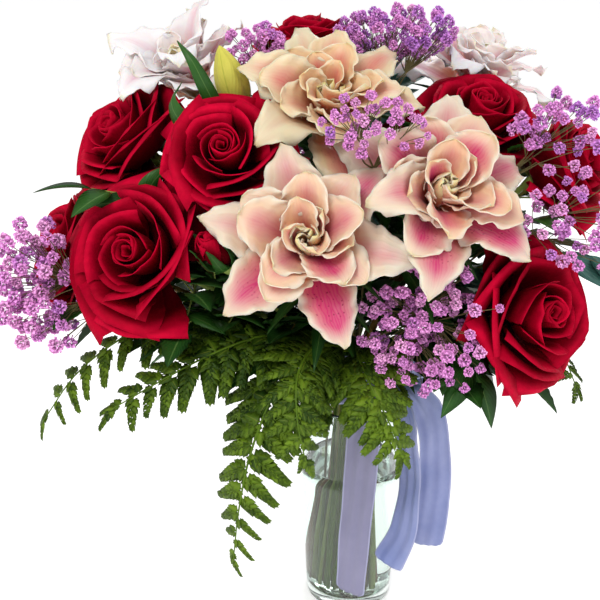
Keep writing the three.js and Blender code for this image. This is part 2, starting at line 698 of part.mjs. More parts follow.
function twigSolid(twig, route) {
  const line = route.points.slice(-twig.path.length);
  const leaves = [];
  const cross = (a, b) => a.intersect(b).volume() > 0;
  const grow = (t, side) => {
    const tries = LEAF_TRIES.map(([reach, spread]) => {
      const sprout = new THREE.Matrix4().makeRotationZ(side * radians(spread));
      const frame = lineFrame(line, t, side * radians(12)).multiply(sprout);
      const local = leafSurface(twig.leaf * reach);
      return blade((u, v) => local(u, v).applyMatrix4(frame), [1, 2, 2, 1], LEAF_THICKNESS);
    });
    const fitting = tries.find((made) => isClear(made,
      [twig.name]) && !leaves.some((other) => cross(made, other)));
    if (fitting) leaves.push(fitting);
  };
  for (let pair = 0; pair < LEAF_PAIRS; pair++) {
    grow(0.4 + (0.55 * pair) / LEAF_PAIRS, -1);
    grow(0.4 + (0.55 * (pair + 0.5)) / LEAF_PAIRS, 1);
  }
  grow(0.98, 0);
  return fuse([stemTube(route), ...leaves]);
}

// Gypsophila

const HEAD_RADIUS = 5.2;
const FORKS = 4;

// Points spread evenly through an ellipsoid, in a golden-angle spiral from its top to its bottom.
function cloudPoint(spray, size, index, count, random) {
  const level = 1 - (2 * index + 1) / count;
  const angle = index * GOLDEN_ANGLE + 0.5 * random();
  const shell = 0.62 + 0.38 * random();
  const ring = Math.sqrt(1 - level * level) * shell;
  const offset = vec(Math.cos(angle) * ring, Math.sin(angle) * ring, level * shell);
  return vec(...spray.cloud).addScaledVector(offset.multiply(vec(...spray.size)), size);
}

// A flower head as a double cone on the end of its own twiglet.
function flowerHead(fork, centre, radius) {
  const along = centre.clone().sub(fork).normalize();
  const at = (distance) => centre.clone().addScaledVector(along, distance);
  return tube([fork, at(-0.9 * radius), centre, at(0.8 * radius)],
    [TWIGLET_RADIUS, TWIGLET_RADIUS, radius, 1.5], 3);
}

function spraySolid(spray, route, seed) {
  const random = seededRandom(seed);
  const crown = vec(...spray.crown);
  const parts = [stemTube(route)];
  const forks = [];
  for (let i = 0; i < FORKS; i++) {
    const fork = crown.clone().lerp(cloudPoint(spray, 0.7, i, FORKS, random), 0.6);
    const branch = tube([crown, fork, fork.clone().lerp(crown, -0.1)], [0.9, 1.8, 0.8], 3);
    if (!isClear(branch, [spray.name])) continue;
    forks.push(fork);
    parts.push(branch);
  }
  for (let k = 0; k < spray.heads; k++) {
    const centre = cloudPoint(spray, 1, k, spray.heads, random);
    const radius = HEAD_RADIUS * (0.85 + 0.3 * random());
    const nearest = [...forks].sort((a, b) => a.distanceTo(centre) - b.distanceTo(centre));
    const tries = nearest.map((fork) => flowerHead(fork, centre, radius));
    const fitting = tries.find((made) => isClear(made, [spray.name]));
    if (fitting) parts.push(fitting);
  }
  return fuse(parts);
}

// Vase, water and ribbon

const VASE_SLOPE = (VASE_RIM_RADIUS - VASE_FOOT_RADIUS) / VASE_HEIGHT;

function vaseSolid() {
  const inside = (z) => VASE_FOOT_RADIUS + VASE_SLOPE * z - GLASS_WALL;
  const outline = [
    [0, 0],
    [VASE_FOOT_RADIUS - 1.5, 0],
    [VASE_FOOT_RADIUS, 1.5],
    [VASE_RIM_RADIUS, VASE_HEIGHT - 1],
    [VASE_RIM_RADIUS - GLASS_WALL / 2, VASE_HEIGHT],
    [inside(VASE_HEIGHT), VASE_HEIGHT - 1],
    [inside(GLASS_FLOOR), GLASS_FLOOR + 2],
    [inside(GLASS_FLOOR) - 3, GLASS_FLOOR],
    [0, GLASS_FLOOR],
  ];
  return turned(outline, ROUND_SIDES, new THREE.Matrix4());
}

function waterSolid(routes) {
  const inside = (z) => VASE_FOOT_RADIUS + VASE_SLOPE * z - GLASS_WALL - GAP;
  const bottom = GLASS_FLOOR + GAP;
  const outline = [
    [0, bottom],
    [inside(GLASS_FLOOR) - 3, bottom],
    [inside(GLASS_FLOOR), bottom + 2],
    [inside(WATER_LEVEL), WATER_LEVEL],
    [0, WATER_LEVEL],
  ];
  const body = turned(outline, ROUND_SIDES, new THREE.Matrix4());
  const holes = [...routes.values()].map((route) => {
    const [foot, tie] = route.points;
    const radius = route.radius + 1.3 * GAP;
    return tube([foot.clone().lerp(tie, -0.05), tie], [radius, radius], STEM_SIDES[route.kind]);
  });
  return body.subtract(Manifold.union(holes)).simplify(0.02);
}

// A strip of ribbon along points, its width lying along the direction given for each of them. It is
// gathered where it leaves the knot, at one end or both.
function strip({ points, widths }, bothEnds) {
  const line = new THREE.CatmullRomCurve3(points.map((point) => vec(...point)));
  const spread = new THREE.CatmullRomCurve3(widths.map((width) => vec(...width)));
  const halfWidth = (v) => 0.5 * RIBBON_WIDTH * Math.min(1, 0.25 + 3 * (bothEnds ? Math.min(v, 1 - v) : v));
  const surface = (u, v) => line.getPoint(v).addScaledVector(spread.getPoint(v).normalize(),
    u * halfWidth(v));
  return blade(surface, Array(RIBBON_CELLS + 1).fill(1), RIBBON_THICKNESS);
}

const KNOT = [23, -28, 246];
const RIBBON_TAILS = [
  {
    points: [[21, -33, 244], [12, -52, 238], [8, -61, 212], [5, -63, 160], [1, -64, 100], [-2, -64, 38]],
    widths: [[1, 0.1, 0.3], [1, -0.1, 0], [1, -0.1, 0], [1, -0.1, 0], [1, 0, 0], [1, 0, 0]],
  },
  {
    points: [[26, -33, 242], [40, -52, 232], [46, -58, 206], [51, -61, 160], [46, -68, 110], [32, -68, 74]],
    widths: [[1, -0.1, 0.3], [0.9, -0.3, 0.1], [0.85, -0.5, 0], [0.85, -0.5, 0], [0.95, -0.2, 0],
      [1, 0, 0]],
  },
  {
    points: [[29, -29, 243], [55, -37, 238], [72, -36, 212], [79, -36, 168], [81, -38, 124], [79, -40, 90]],
    widths: [[0.8, 0.5, 0.2], [0.9, 0.4, 0], [0.9, 0.4, 0], [0.95, 0.2, 0], [1, 0.1, 0], [1, 0, 0]],
  },
];
const RIBBON_LOOPS = [
  {
    points: [[19, -32, 248], [0, -46, 262], [-26, -52, 262], [-32, -46, 250], [-8, -41, 246],
      [18, -30, 245]],
    widths: [[0.1, 0.3, 1], [0.1, 0.4, 1], [0, 0.4, 1], [0, 0.3, 1], [0, 0.3, 1], [0.1, 0.3, 1]],
  },
  {
    points: [[28, -28, 250], [48, -34, 264], [68, -24, 264], [72, -14, 254], [52, -18, 248],
      [28, -25, 247]],
    widths: [[0.2, 0.2, 1], [0.2, 0.2, 1], [0.2, 0.2, 1], [0.2, 0.2, 1], [0.2, 0.2, 1], [0.2, 0.2, 1]],
  },
];

function ribbonSolid() {
  const inner = TIE_RADIUS + 2 * GAP;
  const section = [[inner, TIE_BOTTOM], [inner + 1, TIE_BOTTOM], [inner + 1, TIE_TOP], [inner, TIE_TOP],
    [inner, TIE_BOTTOM]];
  const band = turned(section, BAND_SIDES, new THREE.Matrix4());
  const knot = turned([[0, -9], [7, -7], [9, 0], [7, 7], [0, 9]], 6, frameAt(vec(...KNOT), vec(0.3, 0, 1)));
  const tails = RIBBON_TAILS.map((tail) => strip(tail, false));
  const loops = RIBBON_LOOPS.map((loop) => strip(loop, true));
  return fuse([band, knot, ...tails, ...loops]);
}

// The bouquet, built from the vase outwards, so that each piece gives way to those before it

const bouquet = new THREE.Group();

function add(name, solid, material) {
  bouquet.add(meshOf(name, solid, material));
  place(name, solid);
}

const routes = routeStems(stemRequests());
add("vase", vaseSolid(), finish.glass);
add("ribbon", ribbonSolid(), finish.ribbon);
for (const route of routes.values()) {
  if (route.name.endsWith("_stem")) add(route.name, stemTube(route), finish.stem);
  else place(route.name, stemTube(route));
}
const addSpray = (spray, i) => add(spray.name, spraySolid(spray, routes.get(spray.name), 100 + i),
  finish.gypsophila);

for (const bud of BUDS) {
  add(bud.name + "_bloom", budSolid(bud), bud.name === "rose_bud" ? finish.rose : finish.lilyBud);
}
for (const rose of ROSES) add(rose.name + "_bloom", roseSolid(rose), finish.rose);
SPRAYS.filter((spray) => spray.overLilies).forEach(addSpray);
for (const lily of LILIES) {
  add(lily.name + "_bloom", lilySolid(lily), lily.pale ? finish.paleLily : finish.lily);
}
for (const twig of TWIGS) add(twig.name, twigSolid(twig, routes.get(twig.name)), finish.leaf);
for (const fern of FERNS) add(fern.name, fernSolid(fern, routes.get(fern.name)), finish.fern);
SPRAYS.filter((spray) => !spray.overLilies).forEach(addSpray);
add("water", waterSolid(routes), finish.water);

export default bouquet;
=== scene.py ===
# %% [markdown]
# # A mixed bouquet in a glass vase
#
# Red roses, double lilies, gypsophila and fern stand in a clear vase, tied with a satin ribbon. This
# lesson starts from plain faceted solids of every flower, stem and leaf, which fix the sizes and places.
# Each step then makes the fine surface of one kind of piece, in millimetres, and stands it where its
# plain solid is. Lengths are only turned into metres when a mesh is made.

# %% Load the plain model
import math

import bpy
import numpy as np
from mathutils import Matrix, Vector
from mathutils.bvhtree import BVHTree


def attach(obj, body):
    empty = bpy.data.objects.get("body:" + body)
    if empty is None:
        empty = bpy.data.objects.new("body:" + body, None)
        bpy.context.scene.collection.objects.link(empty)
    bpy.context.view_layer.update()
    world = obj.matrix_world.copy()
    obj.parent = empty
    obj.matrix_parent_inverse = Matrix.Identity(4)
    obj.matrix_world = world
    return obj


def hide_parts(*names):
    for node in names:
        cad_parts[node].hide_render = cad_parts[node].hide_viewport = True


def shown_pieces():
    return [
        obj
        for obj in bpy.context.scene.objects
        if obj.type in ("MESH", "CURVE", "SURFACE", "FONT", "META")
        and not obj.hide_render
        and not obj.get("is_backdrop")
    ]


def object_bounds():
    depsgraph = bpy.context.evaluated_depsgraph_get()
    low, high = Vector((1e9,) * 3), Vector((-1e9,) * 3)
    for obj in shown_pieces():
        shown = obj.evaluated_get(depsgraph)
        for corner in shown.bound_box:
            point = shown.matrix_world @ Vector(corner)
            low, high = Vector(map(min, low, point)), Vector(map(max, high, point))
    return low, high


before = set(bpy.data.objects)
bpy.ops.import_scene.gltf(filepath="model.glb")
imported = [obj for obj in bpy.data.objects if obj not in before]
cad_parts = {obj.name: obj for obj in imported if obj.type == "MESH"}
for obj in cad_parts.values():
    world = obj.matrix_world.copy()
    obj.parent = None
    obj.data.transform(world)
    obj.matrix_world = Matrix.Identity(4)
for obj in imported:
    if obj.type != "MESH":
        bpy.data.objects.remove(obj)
plain_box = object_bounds()
MM = 0.001
print("nodes loaded:", len(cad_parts))

# %% [markdown]
# ## Camera
#
# The camera stands a little to the left, 600 mm up, and looks down by 20 degrees. Its angle of view comes
# from how fast things shrink with distance in the picture that the bouquet is compared with. A focal
# length in pixels and the picture's width give that angle without knowing the lens.

# %% Camera
CAMERA_PLACE = (-0.050, -0.8042, 0.6082)
CAMERA_TILT = math.radians(70)
FOCAL_PIXELS = 923.0
PICTURE_PIXELS = 600
FAR_END = 200


def aim_camera():
    lens = bpy.data.cameras.new("camera")
    lens.angle = 2 * math.atan(0.5 * PICTURE_PIXELS / FOCAL_PIXELS)
    lens.clip_end = FAR_END
    camera = bpy.data.objects.new("camera", lens)
    camera.location = CAMERA_PLACE
    camera.rotation_euler = (CAMERA_TILT, 0, 0)
    bpy.context.scene.collection.objects.link(camera)
    bpy.context.scene.camera = camera
    return camera


print("camera angle:", round(math.degrees(aim_camera().data.angle), 1))

# %% [markdown]
# ## Light
#
# Three large lamps and a white sky give soft studio light, which suits petals: small lamps would put hard
# shadows into every fold. The sky has to look white behind the bouquet but would wash it out at that
# strength, so it asks whether a ray comes straight from the camera and shines less for all other rays.
# The Standard view keeps the petals' colours as they are mixed, and glass needs many bounces.

# %% Light
MIDDLE_OF_BOUQUET = Vector((0, 0, 0.38))
WHITE = (1.0, 1.0, 1.0)
LAMPS = [
    ("key_light", (-0.7, -1.5, 1.9), 0.9, 26, (1, 0.98, 0.95)),
    ("fill_light", (1.5, -1.0, 0.9), 1.4, 6, WHITE),
    ("rim_light", (0.3, 1.4, 1.5), 1.0, 10, WHITE),
]
SKY_STRENGTH = 0.62
GLASS_BOUNCES = 24


def area_light(name, place, size, watts, colour):
    light = bpy.data.lights.new(name, "AREA")
    light.shape = "DISK"
    light.size, light.energy, light.color = size, watts, colour
    lamp = bpy.data.objects.new(name, light)
    lamp.location = place
    lamp.rotation_euler = (MIDDLE_OF_BOUQUET - Vector(place)).to_track_quat("-Z", "Y").to_euler()
    bpy.context.scene.collection.objects.link(lamp)


def white_sky(strength):
    """A white backdrop that lights the bouquet less than it shines itself."""
    world = bpy.data.worlds.new("studio")
    world.use_nodes = True
    tree = world.node_tree
    backdrop = tree.nodes["Background"]
    backdrop.inputs["Color"].default_value = (*WHITE, 1)
    seen = tree.nodes.new("ShaderNodeLightPath").outputs["Is Camera Ray"]
    brightness = tree.nodes.new("ShaderNodeMapRange")
    brightness.inputs["To Min"].default_value, brightness.inputs["To Max"].default_value = strength, 1.0
    tree.links.new(seen, brightness.inputs["Value"])
    tree.links.new(brightness.outputs["Result"], backdrop.inputs["Strength"])
    bpy.context.scene.world = world


for lamp_row in LAMPS:
    area_light(*lamp_row)
white_sky(SKY_STRENGTH)
bpy.context.scene.view_settings.view_transform = "Standard"
bpy.context.scene.cycles.use_denoising = True
bpy.context.scene.cycles.max_bounces = GLASS_BOUNCES
bpy.context.scene.cycles.transmission_bounces = GLASS_BOUNCES
print("lamps:", len(LAMPS))

# %% [markdown]
# ## Helpers for shader nodes
#
# Every finish is a Principled shader with a few nodes in front. These helpers place a node and set its
# sockets in one line, so that each finish below reads as a short recipe. A number or colour that is the
# same all over is set on the shader's own socket, where every program can read it.


# %% Helpers for shader nodes
def add_node(tree, kind, inputs=(), **settings):
    made = tree.nodes.new(kind)
    for key, value in settings.items():
        setattr(made, key, value)
    for key, value in dict(inputs).items():
        if isinstance(value, bpy.types.NodeSocket):
            tree.links.new(value, made.inputs[key])
        else:
            made.inputs[key].default_value = value
    return made


def maths(tree, operation, a, b=0.0, clamp=False):
    made = add_node(tree, "ShaderNodeMath", {0: a, 1: b}, operation=operation, use_clamp=clamp)
    return made.outputs[0]


def ramp(tree, factor, stops, smooth=True):
    made = add_node(tree, "ShaderNodeValToRGB", {"Fac": factor})
    made.color_ramp.interpolation = "EASE" if smooth else "LINEAR"
    while len(made.color_ramp.elements) < len(stops):
        made.color_ramp.elements.new(0.5)
    for element, (place, colour) in zip(made.color_ramp.elements, stops):
        element.position = place
        element.color = (*colour, 1) if hasattr(colour, "__len__") else (colour, colour, colour, 1)
    return made.outputs["Color"]


def blend(tree, factor, a, b, mode="MIX"):
    made = add_node(tree, "ShaderNodeMix", data_type="RGBA", blend_type=mode)
    for index, value in ((0, factor), (6, a), (7, b)):
        if isinstance(value, bpy.types.NodeSocket):
            tree.links.new(value, made.inputs[index])
        else:
            made.inputs[index].default_value = (*value, 1) if index else value
    return made.outputs[2]


def bumped(tree, height, strength, distance=0.001):
    bump = add_node(tree, "ShaderNodeBump", {"Height": height, "Strength": strength, "Distance": distance})
    return bump.outputs["Normal"]


def attribute(tree, name):
    return add_node(tree, "ShaderNodeAttribute", attribute_name=name).outputs["Fac"]


def new_finish(name, **values):
    finish = bpy.data.materials.new(name)
    finish.use_nodes = True
    shader = finish.node_tree.nodes["Principled BSDF"]
    for key, value in values.items():
        shader.inputs[key.replace("_", " ")].default_value = value
    return finish, finish.node_tree, shader


FINISH = {}
print("helpers: add_node, maths, ramp, blend, bumped, attribute, new_finish")

# %% [markdown]
# ## Three effects that the finishes share
#
# Mottle is the uneven tone that nothing grown is without. Veins run up a petal or a leaf from its base and
# fan out a little. Speck is a scatter of freckles. Each is a node group with named inputs, built once, and
# each material places it with values of its own, which keeps the recipes short and the effects alike.


# %% Shared effects
def new_group(name, inputs, outputs):
    group = bpy.data.node_groups.new(name, "ShaderNodeTree")
    for label, default in inputs.items():
        socket = group.interface.new_socket(label, in_out="INPUT", socket_type="NodeSocketFloat")
        socket.default_value = default
    for label in outputs:
        group.interface.new_socket(label, in_out="OUTPUT", socket_type="NodeSocketFloat")
    return group, group.nodes.new("NodeGroupInput"), group.nodes.new("NodeGroupOutput")


def build_mottle():
    group, given, out = new_group("mottle", {"Scale": 60.0, "Contrast": 1.0}, ["Value"])
    place = add_node(group, "ShaderNodeTexCoord").outputs["Object"]
    noise = add_node(group, "ShaderNodeTexNoise", {
        "Vector": place, "Scale": given.outputs["Scale"], "Detail": 4.0, "Roughness": 0.6})
    centred = maths(group, "SUBTRACT", noise.outputs["Fac"], 0.5)
    spread = maths(group, "MULTIPLY", centred, given.outputs["Contrast"])
    group.links.new(maths(group, "ADD", spread, 0.5, clamp=True), out.inputs["Value"])
    return group


def build_veins():
    group, given, out = new_group("veins", {"Count": 14.0, "Fan": 0.35, "Wobble": 0.1}, ["Height"])
    place = add_node(group, "ShaderNodeUVMap").outputs[0]
    split = add_node(group, "ShaderNodeSeparateXYZ", {0: place})
    across = maths(group, "ABSOLUTE", maths(group, "SUBTRACT", split.outputs[0], 0.5))
    fan = maths(group, "MULTIPLY", split.outputs[1], given.outputs["Fan"])
    fanned = maths(group, "SUBTRACT", across, fan)
    noise = add_node(group, "ShaderNodeTexNoise", {"Vector": place, "Scale": 9.0, "Detail": 2.0})
    wobble = maths(group, "MULTIPLY", noise.outputs["Fac"], given.outputs["Wobble"])
    wavy = maths(group, "ADD", fanned, wobble)
    turns = maths(group, "MULTIPLY", maths(group, "MULTIPLY", wavy, given.outputs["Count"]), 2 * math.pi)
    wave = maths(group, "MULTIPLY", maths(group, "SINE", turns), 0.5)
    height = maths(group, "POWER", maths(group, "ADD", wave, 0.5), 2.0)
    group.links.new(height, out.inputs["Height"])
    return group


def build_speck():
    group, given, out = new_group("speck", {"Count": 22.0, "Size": 0.25}, ["Mask"])
    place = add_node(group, "ShaderNodeUVMap").outputs[0]
    longer = add_node(group, "ShaderNodeMapping", {"Vector": place, "Scale": (1.0, 1.9, 1.0)}).outputs[0]
    cells = add_node(group, "ShaderNodeTexVoronoi", {
        "Vector": longer, "Scale": given.outputs["Count"], "Randomness": 0.9})
    inside = maths(group, "SUBTRACT", given.outputs["Size"], cells.outputs["Distance"])
    group.links.new(maths(group, "MULTIPLY", inside, 12.0, clamp=True), out.inputs["Mask"])
    return group


EFFECTS = {"mottle": build_mottle(), "veins": build_veins(), "speck": build_speck()}


def effect(tree, name, **values):
    made = add_node(tree, "ShaderNodeGroup", node_tree=EFFECTS[name])
    for label, value in values.items():
        made.inputs[label].default_value = value
    return made.outputs[0]


def uv_parts(tree):
    """How far a point is from the middle line, 0 to 1, and how far along it is, from the UV map."""
    split = add_node(tree, "ShaderNodeSeparateXYZ", {0: add_node(tree, "ShaderNodeUVMap").outputs[0]})
    centred = maths(tree, "SUBTRACT", maths(tree, "MULTIPLY", split.outputs[0], 2.0), 1.0)
    return maths(tree, "ABSOLUTE", centred), split.outputs[1]


print("effects:", ", ".join(EFFECTS))

# %% [markdown]
# ## Rose petal finish
#
# A red rose is nearly black in its folds and bright at its rims, and here that light and shade is painted
# into the petal: the base colour climbs from painted shade at the claw to a painted highlight at the edge,
# along the petal's own UV map. A different tone for each petal keeps the layers apart, and a little red
# sheen gives the velvet. It hardly mirrors anything, so its specular level is close to zero.


# %% Rose petal finish
def rose_finish():
    finish, tree, shader = new_finish("rose_petal", Roughness=0.6, Sheen_Weight=0.06,
                                      Sheen_Roughness=0.3, Specular_IOR_Level=0.03,
                                      Sheen_Tint=(1.0, 0.05, 0.09, 1.0))
    across, along = uv_parts(tree)
    # Painted shade and painted highlight: the colour climbs from near black at the claw, where the folds
    # are, to bright at the rim and edges.
    shade_to_highlight = maths(tree, "ADD", along, maths(tree, "MULTIPLY", maths(tree, "POWER", across, 3.0), 0.14))
    base = ramp(tree, shade_to_highlight, [(0.05, (0.020, 0.0, 0.002)), (0.55, (0.20, 0.0, 0.008)),
                              (0.84, (0.37, 0.0, 0.016)), (1.0, (0.64, 0.002, 0.034))])
    toned = blend(tree, attribute(tree, "tone"), (0.62, 0.5, 0.55), (1.0, 1.0, 1.0))
    coloured = blend(tree, 1.0, base, toned, "MULTIPLY")
    uneven = ramp(tree, effect(tree, "mottle", Scale=70.0, Contrast=1.4), [(0.2, 0.72), (0.8, 1.0)])
    tree.links.new(blend(tree, 1.0, coloured, uneven, "MULTIPLY"), shader.inputs["Base Color"])
    veins = effect(tree, "veins", Count=11.0, Fan=0.1, Wobble=0.12)
    tree.links.new(bumped(tree, veins, 0.28, 0.0006), shader.inputs["Normal"])
    return finish


FINISH["rose_petal"] = rose_finish()
print("finish:", FINISH["rose_petal"].name)

# %% [markdown]
# ## Lily petal finish
#
# The lilies are cream and peach, with a magenta band up the middle of a petal, freckles on the strongest
# bands, a pale rim and a green-yellow tip. Towards the claw the petal turns coral and darker: partly its
# own colour, partly painted shade where the petals meet. How strong the band is differs from petal to
# petal, so it is an attribute of the mesh, called blush. Another, tone, says how near the heart a petal
# grows: there it is warmer, and in the very middle yellow. Light passes into the thin petals, so they have
# some subsurface.


# %% Lily petal finish
HEART_TONE = 0.6


def lily_finish(name, pale, warm, band, cream, band_width):
    finish, tree, shader = new_finish(name, Roughness=0.42, Sheen_Weight=0.08, Specular_IOR_Level=0.35,
                                      Subsurface_Weight=0.3, Subsurface_Scale=0.005,
                                      Subsurface_Radius=(1.0, 0.42, 0.25))
    across, along = uv_parts(tree)
    uneven = effect(tree, "mottle", Scale=38.0, Contrast=2.2)
    ground = blend(tree, uneven, pale, warm)
    # The throat: the claw's own coral colour, and painted shade that darkens it where the petals meet.
    throat_and_painted_shade = ramp(tree, along, [(0.0, (0.70, 0.42, 0.12)), (0.28, (1.0, 0.54, 0.36)), (0.62, WHITE)])
    ground = blend(tree, 1.0, ground, throat_and_painted_shade, "MULTIPLY")
    heart = ramp(tree, attribute(tree, "tone"), [(0.0, WHITE), (HEART_TONE, (1.06, 0.78, 0.62)),
                                                 (1.0, (1.14, 1.10, 0.72))], smooth=False)
    ground = blend(tree, ramp(tree, along, [(0.45, 0.0), (0.92, 0.72)]), ground, cream)
    ground = blend(tree, 1.0, ground, heart, "MULTIPLY")
    blush = attribute(tree, "blush")
    width = maths(tree, "ADD", maths(tree, "MULTIPLY", blush, 1.1 * band_width), 0.35 * band_width)
    inside = maths(tree, "SUBTRACT", 1.0, maths(tree, "DIVIDE", across, width), clamp=True)
    fade = ramp(tree, along, [(0.12, 0.0), (0.34, 1.0), (0.74, 0.9), (0.97, 0.0)])
    shape = maths(tree, "MULTIPLY", maths(tree, "POWER", inside, 0.6), fade)
    amount = maths(tree, "ADD", maths(tree, "MULTIPLY", blush, 1.25), 0.12)
    strength = maths(tree, "MULTIPLY", shape, amount, clamp=True)
    streaks = maths(tree, "MULTIPLY", effect(tree, "veins", Count=16.0, Fan=0.2, Wobble=0.1), 0.12)
    streaks = maths(tree, "ADD", streaks, 0.88, clamp=True)
    coloured = blend(tree, maths(tree, "MULTIPLY", strength, streaks), ground, band)
    reach = ramp(tree, along, [(0.14, 0.0), (0.24, 1.0), (0.66, 0.9), (0.82, 0.0)])
    middle = ramp(tree, across, [(0.45, 1.0), (0.8, 0.0)])
    specks = effect(tree, "speck", Count=13.0, Size=0.27)
    freckles = maths(tree, "MULTIPLY", maths(tree, "MULTIPLY", specks, reach), middle)
    speckled = maths(tree, "SUBTRACT", maths(tree, "MULTIPLY", blush, 2.4), 1.4, clamp=True)
    freckles = maths(tree, "MULTIPLY", freckles, speckled)
    spotted = blend(tree, freckles, coloured, (0.30, 0.005, 0.06))
    rim = ramp(tree, across, [(0.62, 0.0), (1.0, 0.75)])
    edged = blend(tree, rim, spotted, cream)
    tip = ramp(tree, along, [(0.95, 0.0), (1.0, 0.35)])
    tree.links.new(blend(tree, tip, edged, (0.66, 0.62, 0.24)), shader.inputs["Base Color"])
    veins = effect(tree, "veins", Count=8.0, Fan=0.12, Wobble=0.06)
    tree.links.new(bumped(tree, veins, 0.16, 0.0008), shader.inputs["Normal"])
    return finish


LILY_DYES = {
    "lily_petal": ((0.71, 0.57, 0.43), (0.70, 0.45, 0.34), (0.58, 0.02, 0.15), (0.76, 0.68, 0.57), 0.66),
    "warm_lily_petal": ((0.71, 0.58, 0.34), (0.69, 0.45, 0.30), (0.66, 0.11, 0.12), (0.76, 0.68, 0.50),
                        0.55),
    "pale_lily_petal": ((0.84, 0.78, 0.79), (0.80, 0.67, 0.70), (0.74, 0.18, 0.34), (0.85, 0.81, 0.81),
                        0.45),
}
for name, dyes in LILY_DYES.items():
    FINISH[name] = lily_finish(name, *dyes)
print("lily finishes:", len(LILY_DYES))

# %% [markdown]
# ## Green finishes
#
# Stems, leaves, fern, threads and the lily bud are one recipe with other numbers: two colours mixed by
# mottle and by each leaf's own tone, a midrib of a third colour where the piece has a UV map, and veins as
# a bump. Real leaves are waxy, so the shader has a thin coat. Some stems are brown and some pale green:
# for them the two colours are brown and green, and each stem's tone chooses.


# %% Green finishes
def green_finish(name, dark, light, rib, roughness, coat):
    finish, tree, shader = new_finish(name, Roughness=roughness, Coat_Weight=coat, Coat_Roughness=0.3,
                                      Specular_IOR_Level=0.14)
    across, _ = uv_parts(tree)
    uneven = maths(tree, "MULTIPLY", effect(tree, "mottle", Scale=55.0, Contrast=1.5), 0.5)
    own = maths(tree, "MULTIPLY", attribute(tree, "tone"), 0.6)
    tone = maths(tree, "SUBTRACT", maths(tree, "ADD", uneven, own, clamp=True), 0.05, clamp=True)
    ground = blend(tree, tone, dark, light)
    midrib = ramp(tree, across, [(0.0, 0.75), (0.09, 0.0)])
    tree.links.new(blend(tree, midrib, ground, rib), shader.inputs["Base Color"])
    veins = effect(tree, "veins", Count=9.0, Fan=0.9, Wobble=0.05)
    tree.links.new(bumped(tree, veins, 0.3, 0.0006), shader.inputs["Normal"])
    return finish


GREENS = {
    "lily_bud": ((0.34, 0.38, 0.04), (0.80, 0.70, 0.13), (0.30, 0.34, 0.03), 0.4, 0.1),
    "stem": ((0.15, 0.026, 0.003), (0.29, 0.42, 0.10), (0.10, 0.15, 0.03), 0.45, 0.05),
    "leaf": ((0.006, 0.034, 0.006), (0.035, 0.13, 0.018), (0.10, 0.20, 0.05), 0.38, 0.12),
    "blue_leaf": ((0.010, 0.075, 0.060), (0.11, 0.30, 0.25), (0.20, 0.40, 0.34), 0.34, 0.3),
    "fern": ((0.003, 0.027, 0.004), (0.165, 0.28, 0.014), (0.17, 0.20, 0.02), 0.45, 0.04),
    "twig": ((0.10, 0.075, 0.03), (0.19, 0.17, 0.07), (0.19, 0.17, 0.07), 0.6, 0.0),
}
for name, colours in GREENS.items():
    FINISH[name] = green_finish(name, *colours)
print("green finishes:", ", ".join(GREENS))

# %% [markdown]
# ## Gypsophila finish
#
# The gypsophila is dyed, so its flowers run from pink to violet, each with a tone of its own. Each petal
# carries painted shade at its base, deep in the ball, and a painted highlight at its tip. The UV map of a
# petal runs from its base to its tip.

# %% Gypsophila finish
def gypsophila_finish():
    finish, tree, shader = new_finish("gypsophila", Roughness=0.62, Subsurface_Weight=0.1,
                                      Subsurface_Scale=0.002, Subsurface_Radius=(1.0, 0.6, 0.9))
    uneven = maths(tree, "MULTIPLY", effect(tree, "mottle", Scale=30.0, Contrast=1.6), 0.35)
    own = maths(tree, "MULTIPLY", attribute(tree, "tone"), 0.75)
    dye = ramp(tree, maths(tree, "ADD", uneven, own, clamp=True),
               [(0.1, (0.92, 0.44, 0.78)), (0.45, (0.80, 0.30, 0.72)), (0.9, (0.52, 0.19, 0.66))])
    _, along = uv_parts(tree)
    # Painted shade at each petal's base, deep in the ball, and a painted highlight at its tip.
    depth = ramp(tree, along, [(0.0, 0.30), (0.5, 0.72), (1.0, 1.3)])
    tree.links.new(blend(tree, 1.0, dye, depth, "MULTIPLY"), shader.inputs["Base Color"])
    grain = effect(tree, "mottle", Scale=900.0, Contrast=1.0)
    tree.links.new(bumped(tree, grain, 0.3, 0.0004), shader.inputs["Normal"])
    return finish


FINISH["gypsophila"] = gypsophila_finish()
print("finish:", FINISH["gypsophila"].name)

# %% [markdown]
# ## Satin, glass and water
#
# Satin shines because long threads float over its face, so its roughness is low and its bump is a fine
# rib across the strip, with a woven edge on both sides. The tone of a piece takes it from a greyish lilac
# to a cool blue. Glass and water are one recipe, with full transmission and their own index of refraction;
# the glass is a little wavy, which moves its reflections.


# %% Satin, glass and water
SATIN_RIBS = 451.6


